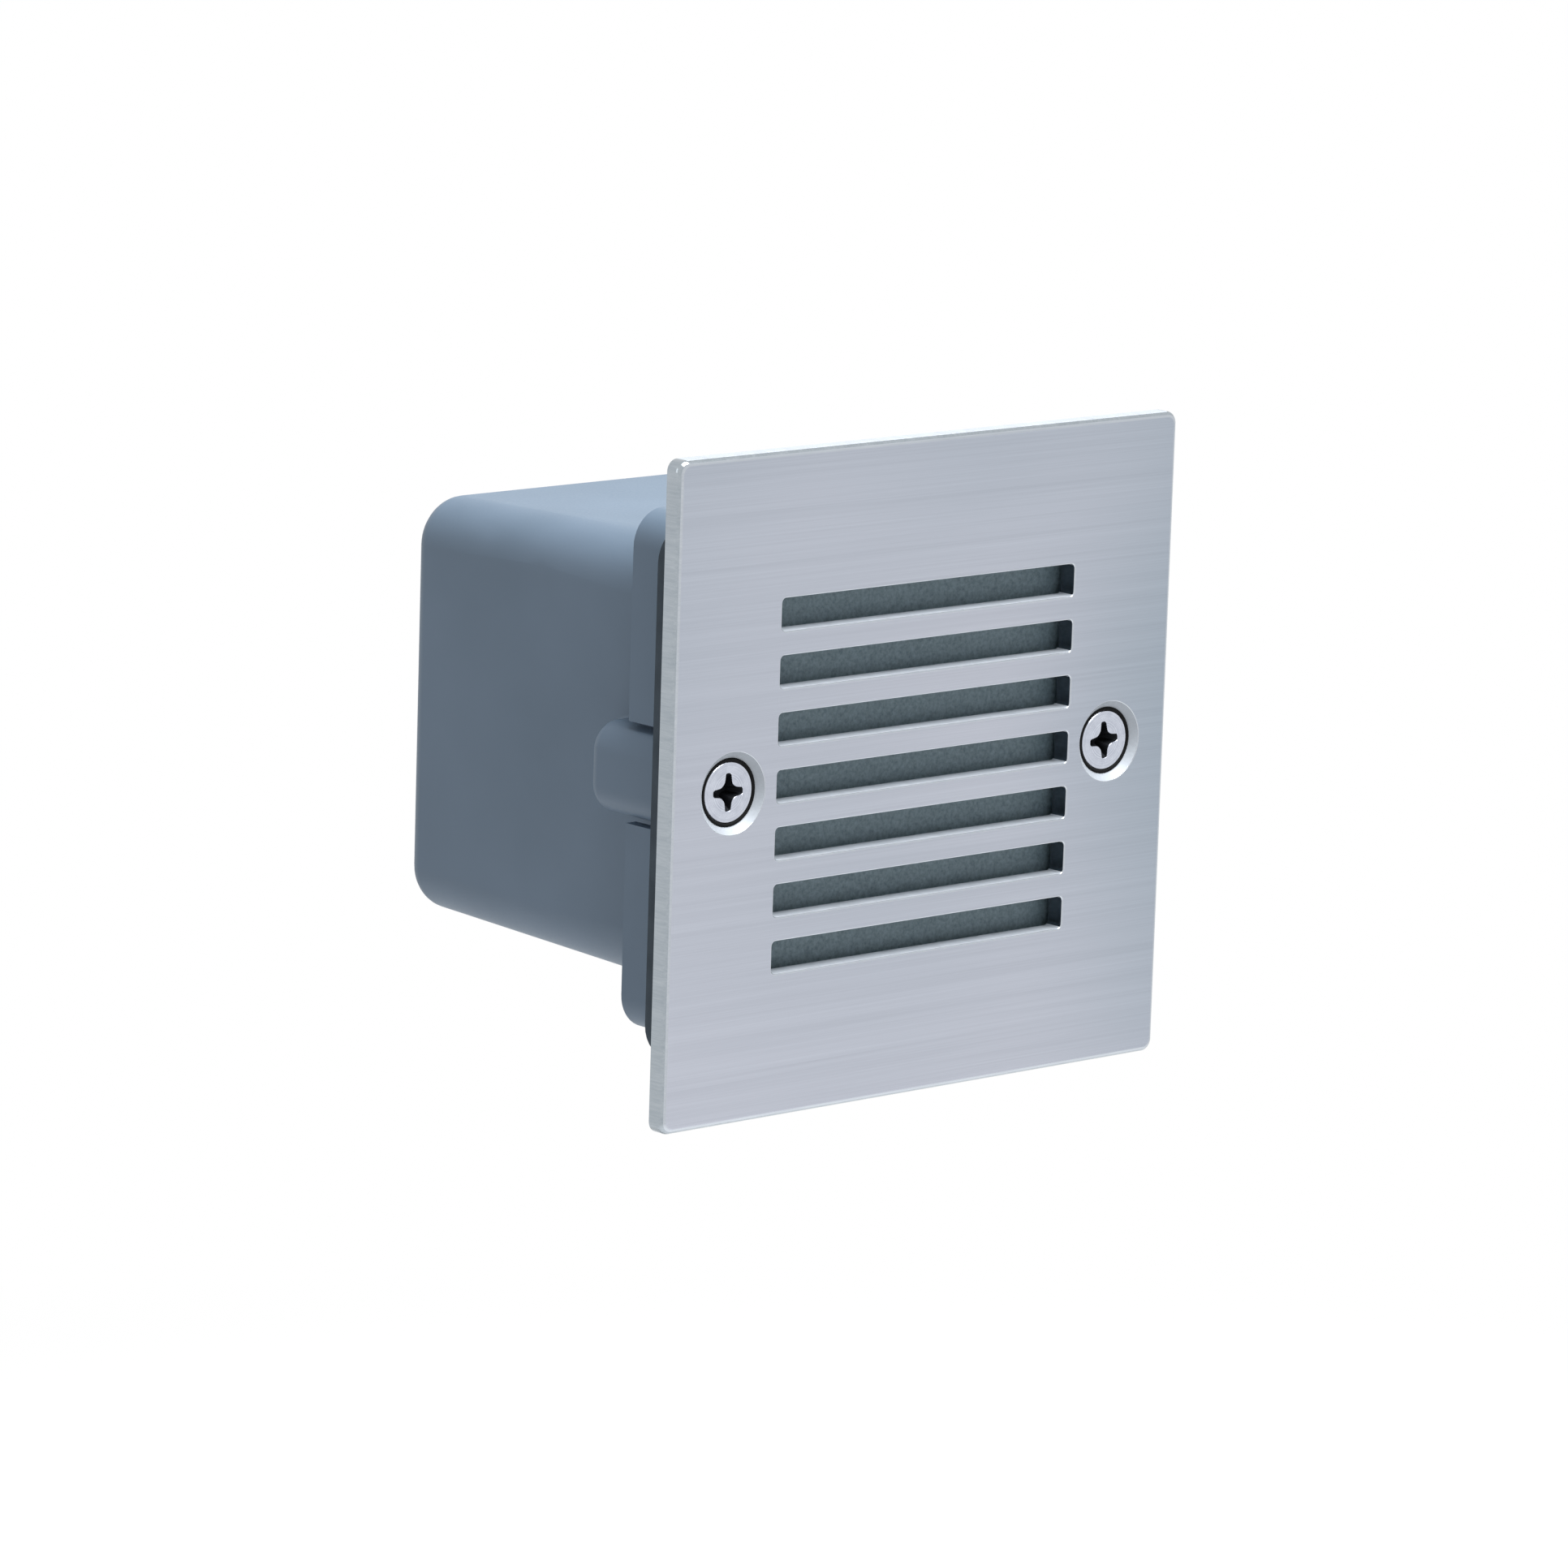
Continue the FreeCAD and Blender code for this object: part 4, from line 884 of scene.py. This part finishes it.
@dataclass
class PlateScrews(Piece):
    """The two countersunk screws with cross recesses, and the dark cone washers under them."""

    turns: Pair = (0.0, 0.07)
    steel: tuple[str, str, float] = ("b2b7c4", "d3d8e3", 0.26)
    head_top: float = -4.95 * MM
    head_radius: float = 4.6 * MM
    head_break: float = 0.14 * MM
    neck: float = -2.85 * MM
    shank: float = 2.48 * MM
    recess_radius: float = 2.85 * MM
    recess_depth: float = 2.4 * MM
    recess_flare: float = 1.05
    recess_shrink: float = 0.5
    thread_start: float = -2.0 * MM
    thread_end: float = 14.4 * MM
    point: float = 15.05 * MM
    root: float = 2.07 * MM
    pitch: float = 0.8 * MM
    around: int = 56
    steps: int = 8
    washer_mm: tuple[Pair, ...] = (
        (3.30, -3.15), (5.13, -4.98), (5.02, -5.07), (4.86, -5.09), (4.72, -5.02), (4.66, -4.94),
        (2.85, -3.15))
    washer_steps: int = 72
    washer_sharp: float = 50.0

    def thread(self, centre: float) -> Rings:
        """Rings of a screw thread, a surface of the angle a and the depth y.

        With phase p = y / pitch - a / (2 pi), the radius is root + (shank - root) times
        |2 (p - floor(p)) - 1|, which climbs from root to crest and back once to a pitch.
        The ends run down to the root over one pitch.

        Args:
            centre: x of the screw's axis.

        Returns:
            The rings.
        """
        rows = int(round((self.thread_end - self.thread_start) / self.pitch * self.steps)) + 1
        depth = np.linspace(self.thread_start, self.thread_end, rows)[:, None]
        angle = np.linspace(0.0, 2 * math.pi, self.around, endpoint=False)
        phase = depth / self.pitch - angle / (2 * math.pi)
        wave = np.abs(2 * (phase - np.floor(phase)) - 1)
        ends = np.minimum(depth - self.thread_start, self.thread_end - depth) / self.pitch
        radius = self.root + (self.shank - self.root) * wave * np.clip(ends, 0.0, 1.0)
        return polar_rings(radius, depth, angle, (centre, 0.0))

    def screw(self, side: str, centre: float, turn: float) -> Thing:
        """Head, recess, shank, thread and point as one closed surface.

        Args:
            side: left or right.
            centre: x of the screw's axis.
            turn: angle of the recess.

        Returns:
            The finished object.
        """
        def disc(radius: float) -> np.ndarray:
            """Circle about the screw's axis."""
            return circle_outline(radius, self.around, (centre, 0.0))

        def cross(scale: float) -> np.ndarray:
            """The recess's outline."""
            return cross_outline((centre, 0.0), turn, scale)

        head = np.array([(self.head_radius - self.head_break, self.head_top),
                         (self.head_radius, self.head_top + self.head_break),
                         (self.shank, self.neck), (self.shank, self.thread_start - self.pitch / 4)])
        tip = np.array([(self.root, self.thread_end + self.pitch / 8),
                        (self.root - self.pitch / 2, self.point)])
        recess = np.array([(self.recess_flare, self.head_top),
                           (1.0, self.head_top + self.head_break / 2),
                           (self.recess_shrink, self.head_top + self.recess_depth)])
        surface = Surface()
        first, last = surface.tube(np.concatenate([raise_rings(disc, head), self.thread(centre),
                                                   raise_rings(disc, tip)]))
        surface.cap([(last, disc(tip[-1, 0]))], flip=True)
        mouth, floor = surface.tube(raise_rings(cross, recess), flip=True)
        surface.cap([(first, disc(head[0, 0])), (mouth, cross(recess[0, 0]))], flip=False)
        surface.cap([(floor, cross(self.recess_shrink))], flip=False)
        return surface.finish(f"plate_screw_{side}")

    def in_shaded_recess(self, centre: float) -> FaceTest:
        """Returns the test for faces inside the cone that holds the recess, which get painted
        shade.
        """
        return lambda place, normal: (
            (np.hypot(place[0] - centre, place[2])
             < self.recess_radius - (place[1] - self.head_top) / 2)
            & (place[1] > self.head_top + self.head_break / 2))

    def build(self, palette: Palette) -> None:
        """Builds both screws and washers.

        Args:
            palette: the finishes.
        """
        rubber, recess = palette.black_rubber.build(), palette.recess.build()
        section = np.array(self.washer_mm + self.washer_mm[:1]) * MM
        for side, centre, turn in zip(("left", "right"), (-SCREW_PLACE, SCREW_PLACE), self.turns):
            screw = self.screw(side, centre, turn)
            steel = TurnedMetal(f"screw_steel_{side}", *self.steel, (centre / MM, 0.0)).build()
            self.settle(screw, f"faceplate_screw_{side}", steel)
            # Painted shade: the cross recess gets the near-black colour.
            self.paint(screw, recess, self.in_shaded_recess(centre))
            ring = Surface()
            ring.tube(raise_rings(
                lambda radius: circle_outline(radius, self.washer_steps, (centre, 0.0)), section))
            self.settle(ring.finish(f"cone_washer_{side}", self.washer_sharp),
                        f"screw_washer_{side}", rubber)


@dataclass
class RecessBox(Piece):
    """The moulded box with its flange, the brass inserts and the lipped foam gasket."""

    lip_outside: float = 0.55 * MM
    lip_play: float = 0.04 * MM
    lip_back: float = -0.55 * MM
    lip_break: float = 0.2 * MM
    corner: float = 5.0 * MM
    window: Triple = (61.6 * MM, 59.0 * MM, 3.0 * MM)
    screw_hole: float = 3.4 * MM
    hole_steps: int = 48

    def gasket(self) -> Thing:
        """Flat ring between plate and flange, with a lip that wraps the flange's edge.

        Returns:
            The finished object.
        """
        low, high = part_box("housing")
        front, back = (end.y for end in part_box("faceplate_gasket"))

        def edge(grow: float) -> np.ndarray:
            """Outline of the flange, which is the housing's widest, grown by a distance."""
            return rounded_outline(high.x - low.x + 2 * grow, high.z - low.z + 2 * grow,
                                   self.corner + grow)

        outer = np.array([(self.lip_outside - self.lip_break, front),
                          (self.lip_outside, front + self.lip_break),
                          (self.lip_outside, self.lip_back), (self.lip_play, self.lip_back),
                          (self.lip_play, back)])
        straight = np.array([(0.0, front), (0.0, back)])
        holes = [lambda inset: rounded_outline(*self.window)]
        holes += [lambda inset, x=across: circle_outline(self.screw_hole, self.hole_steps, (x, 0.0))
                  for across in (-SCREW_PLACE, SCREW_PLACE)]
        walls = [(edge, outer), *((hole, straight) for hole in holes)]
        return pierced_plate(walls).finish("lipped_gasket")

    def build(self, palette: Palette) -> None:
        """Builds the box and what is pressed on or into it.

        Args:
            palette: the finishes.
        """
        self.settle(self.smooth_copy("housing", "moulded_housing"), "housing",
                    palette.housing.build())
        self.settle(self.gasket(), "faceplate_gasket", palette.foam.build())
        self.dress({palette.brass: ("screw_inserts",)})


class Optics(Piece):
    """Frosted pane, its seal, the reflector and the light board with its packages."""

    def build(self, palette: Palette) -> None:
        """Dresses the pieces that make and spread the light."""
        self.dress({palette.glass: ("lens",), palette.silicone: ("lens_seal",),
                    palette.white_plastic: ("reflector", "led_connector"),
                    palette.white_board: ("led_board",), palette.package: ("led_packages",),
                    palette.zinc: ("led_board_screws",)})


class Driver(Piece):
    """Gear plate and the low-voltage driver on it, with its two lamp leads."""

    def build(self, palette: Palette) -> None:
        """Dresses the plate, the driver's case, lid, board and parts, and the lamp leads."""
        self.dress({palette.gear_sheet: ("gear_plate",),
                    palette.zinc: ("gear_plate_screws", "driver_screws"),
                    palette.black_plastic: ("driver_case", "driver_lid"),
                    palette.green_board: ("driver_board",),
                    palette.yellow_tape: ("driver_transformer",),
                    palette.capacitor: ("driver_capacitor",), palette.red: ("led_lead_positive",),
                    palette.black_wire: ("led_lead_negative",)})


class SupplyTerminals(Piece):
    """Terminal block, its clamps and screws, and the two mains leads."""

    def build(self, palette: Palette) -> None:
        """Dresses the block, its metal and the leads."""
        self.dress({palette.cream_plastic: ("terminal_block",),
                    palette.brass: ("terminal_clamps",),
                    palette.zinc: ("terminal_screws", "terminal_fixing_screw"),
                    palette.brown: ("live_lead",), palette.blue: ("neutral_lead",)})


@dataclass
class CableGland(Piece):
    """Gland in the rear wall: body, washer, locknut, sleeve, thrust ring and ribbed dome nut.

    open_end, bore_end and mouth_break are chamfers, across and along. dome_mm has the dome's
    rings as (y, radius) counted from the shoulder and from half the flats.
    """

    centre: Pair = (0.0, -12.0 * MM)
    flats: float = 20.0 * MM
    corner_cut: float = 0.55 * MM
    corner_end: float = 0.9 * MM
    open_end: Pair = (0.75 * MM, 0.8 * MM)
    front: float = 82.2 * MM
    shoulder: float = 88.0 * MM
    back: float = 93.6 * MM
    dome_mm: tuple[Pair, ...] = ((0.0, 0.35), (0.25, -0.15), (1.6, -0.55), (3.0, -1.25),
                                  (4.4, -2.2), (5.2, -3.2), (5.6, -3.9))
    mouth: float = 4.6 * MM
    mouth_break: Pair = (0.35 * MM, 0.4 * MM)
    bore: float = 7.66 * MM
    bore_floor: float = 91.35 * MM
    bore_end: Pair = (0.5 * MM, 0.6 * MM)
    rib_depth: float = 0.16 * MM
    rib_end: float = 0.5 * MM
    ribs: int = 60
    around: int = 360
    sharp_degrees: float = 28.0

    def nut_rings(self) -> Rings:
        """Outer rings of the nut, a surface of the angle a and the depth y.

        The radius is the least of the hexagon's, flats / 2 / cos(a'), with a' the angle from the
        nearest flat's middle, and of a turned limit that a dome gives past the shoulder. Small
        V-shaped ribs, rib_depth * |sin(ribs * a / 2)|, are taken off between the ends.

        Returns:
            The rings.
        """
        half, sixth = self.flats / 2, math.pi / 3
        corner = half / math.cos(sixth / 2) - self.corner_cut
        angle = np.linspace(0.0, 2 * math.pi, self.around, endpoint=False)
        hexagon = half / np.cos((angle + sixth / 2) % sixth - sixth / 2)
        straight = [(self.front, half + self.open_end[0]), (self.front + self.open_end[1], corner),
                    (self.shoulder - self.corner_end, corner)]
        dome = np.array(self.dome_mm) * MM + (self.shoulder, half)
        depth, limit = np.hsplit(np.concatenate([straight, dome]), 2)
        ribbed = (depth > self.front + self.rib_end) & (depth < self.shoulder - self.rib_end)
        ribs = self.rib_depth * np.abs(np.sin(self.ribs * angle / 2))
        return polar_rings(np.minimum(hexagon, limit) - ribbed * ribs, depth, angle, self.centre)

    def nut(self) -> Thing:
        """Closes the outer rings with the mouth and the bore.

        Returns:
            The finished object.
        """
        bore = np.array([(self.mouth + self.mouth_break[0], self.back),
                         (self.mouth, self.back - self.mouth_break[1]),
                         (self.mouth, self.bore_floor), (self.bore, self.bore_floor),
                         (self.bore, self.front + self.bore_end[1]),
                         (self.bore + self.bore_end[0], self.front)])
        inner = raise_rings(lambda radius: circle_outline(radius, self.around, self.centre), bore)
        outer = self.nut_rings()
        surface = Surface()
        surface.tube(np.concatenate([outer, inner, outer[:1]]))
        return surface.finish("dome_nut", self.sharp_degrees)

    def build(self, palette: Palette) -> None:
        """Builds the nut and dresses the rest.

        Args:
            palette: the finishes.
        """
        self.settle(self.nut(), "gland_nut", palette.nylon.build())
        self.dress({palette.nylon: ("gland_body", "gland_locknut"),
                    palette.black_rubber: ("gland_washer", "gland_seal"),
                    palette.white_plastic: ("gland_ring",)})


# ------------ studio

@dataclass(frozen=True)
class Lamp:
    """Square soft lamp that looks at the light's middle."""

    name: str
    place: Triple
    side: float
    watts: float

    def build(self) -> None:
        """Adds the lamp to the scene."""
        data = bpy.data.lights.new(self.name, "AREA")
        data.size = self.side
        data.energy = self.watts
        lamp = bpy.data.objects.new(self.name, data)
        lamp.location = self.place
        lamp.rotation_euler = Vector(self.place).to_track_quat("Z", "Y").to_euler()
        bpy.context.scene.collection.objects.link(lamp)


@dataclass
class Studio:
    """Camera at the photograph's angle, a pale floor, a white surround and soft lamps."""

    camera_place: Triple = (-0.76995, -0.83906, 0.21990)
    yaw: float = 0.7275466
    pitch: float = 0.1943013
    roll: float = 0.0315051
    lens_mm: float = 177.53
    sensor_mm: float = 36.0
    clip_start: float = 0.01
    floor_side: float = 6.0
    floor_drop: float = 0.2
    floor_paint: str = "d0d0d0"
    floor_seen: str = "efefef"
    shadow_near: float = 0.25
    shadow_far: float = 0.5
    ambient: float = 0.24
    lamps: tuple[Lamp, ...] = (Lamp("overhead", (0.1, -0.35, 1.0), 0.8, 23.0),
                               Lamp("rear_left", (-1.0, 0.45, 0.3), 0.6, 1.0))

    def camera(self) -> None:
        """Places the camera: yaw about Z, pitch down, then roll about the line of sight."""
        ahead = Vector((math.sin(self.yaw) * math.cos(self.pitch),
                        math.cos(self.yaw) * math.cos(self.pitch), -math.sin(self.pitch)))
        right = Vector((math.cos(self.yaw), -math.sin(self.yaw), 0.0))
        up = right.cross(ahead)
        rolled_right = math.cos(self.roll) * right + math.sin(self.roll) * up
        rolled_up = math.cos(self.roll) * up - math.sin(self.roll) * right
        turn = Matrix((rolled_right, rolled_up, -ahead)).transposed().to_4x4()
        data = bpy.data.cameras.new("camera")
        data.lens = self.lens_mm
        data.sensor_width = self.sensor_mm
        data.clip_start = self.clip_start
        camera = bpy.data.objects.new("camera", data)
        camera.matrix_world = Matrix.Translation(self.camera_place) @ turn
        bpy.context.scene.collection.objects.link(camera)
        bpy.context.scene.camera = camera

    @staticmethod
    def seen_directly(tree: Tree) -> Socket:
        """Tells what is seen from what only sheds light.

        Args:
            tree: the node tree.

        Returns:
            1 on rays from the camera, a mirror or through glass, and 0 on the others.
        """
        ray = add_node(tree, "LightPath").outputs
        seen = ray["Is Camera Ray"]
        for other in ("Is Glossy Ray", "Is Transmission Ray"):
            either = add_node(tree, "Math", {0: seen, 1: ray[other]}, operation="MAXIMUM")
            seen = either.outputs["Value"]
        return seen

    def surround(self) -> None:
        """White world where it is seen, and a dimmer even light elsewhere."""
        world = bpy.data.worlds.new("surround")
        world.use_nodes = True
        tree = world.node_tree
        tree.nodes.clear()
        strength = add_node(tree, "MapRange", {"Value": self.seen_directly(tree),
                                               "To Min": self.ambient})
        glow = add_node(tree, "Background", {"Color": WHITE,
                                             "Strength": strength.outputs["Result"]})
        add_node(tree, "OutputWorld", {"Surface": glow.outputs["Background"]})
        bpy.context.scene.world = world

    def floor(self) -> None:
        """Pale floor below the light.

        Near the light it is paint that shows the shadow. Far off it is plain white where seen.
        """
        bpy.ops.mesh.primitive_plane_add(size=self.floor_side, location=(0.0, 0.0, 0.0))
        floor = bpy.context.object
        floor.name = "floor"
        floor.data.transform(Matrix.Translation((0.0, 0.0, -self.floor_drop)))
        material, tree = new_material("pale_floor")
        place = add_node(tree, "TexCoord").outputs["Object"]
        reach = add_node(tree, "VectorMath", {0: place}, operation="LENGTH")
        far = add_node(tree, "MapRange", {"Value": reach.outputs["Value"],
                                          "From Min": self.shadow_near,
                                          "From Max": self.shadow_far})
        seen = self.seen_directly(tree)
        whitened = add_node(tree, "Math", {0: seen, 1: far.outputs["Result"]},
                            operation="MULTIPLY")
        tone = add_node(tree, "Mix", {"Factor": seen, COLOUR_A: linear(self.floor_paint),
                                      COLOUR_B: linear(self.floor_seen)}, data_type="RGBA")
        paint = add_node(tree, "BsdfDiffuse", {"Color": tone.outputs[COLOUR_OUT]})
        white = add_node(tree, "Emission", {"Color": WHITE})
        mixed = add_node(tree, "MixShader", {0: whitened.outputs["Value"],
                                             1: paint.outputs["BSDF"],
                                             2: white.outputs["Emission"]})
        add_node(tree, "OutputMaterial", {"Surface": mixed.outputs["Shader"]})
        floor.data.materials.append(material)

    def build(self) -> None:
        """Sets up the whole studio."""
        self.camera()
        self.surround()
        self.floor()
        for lamp in self.lamps:
            lamp.build()
        bpy.context.scene.view_settings.view_transform = "Standard"


def main() -> None:
    """Builds the studio and every piece, in order."""
    logging.basicConfig(level=logging.INFO, format="%(message)s")
    Studio().build()
    palette = Palette()
    for assembly in (Faceplate(), PlateScrews(), RecessBox(), Optics(), Driver(),
                     SupplyTerminals(), CableGland()):
        assembly.build(palette)
        LOG.info("%s done", type(assembly).__name__)


if __name__ == "__main__":
    main()
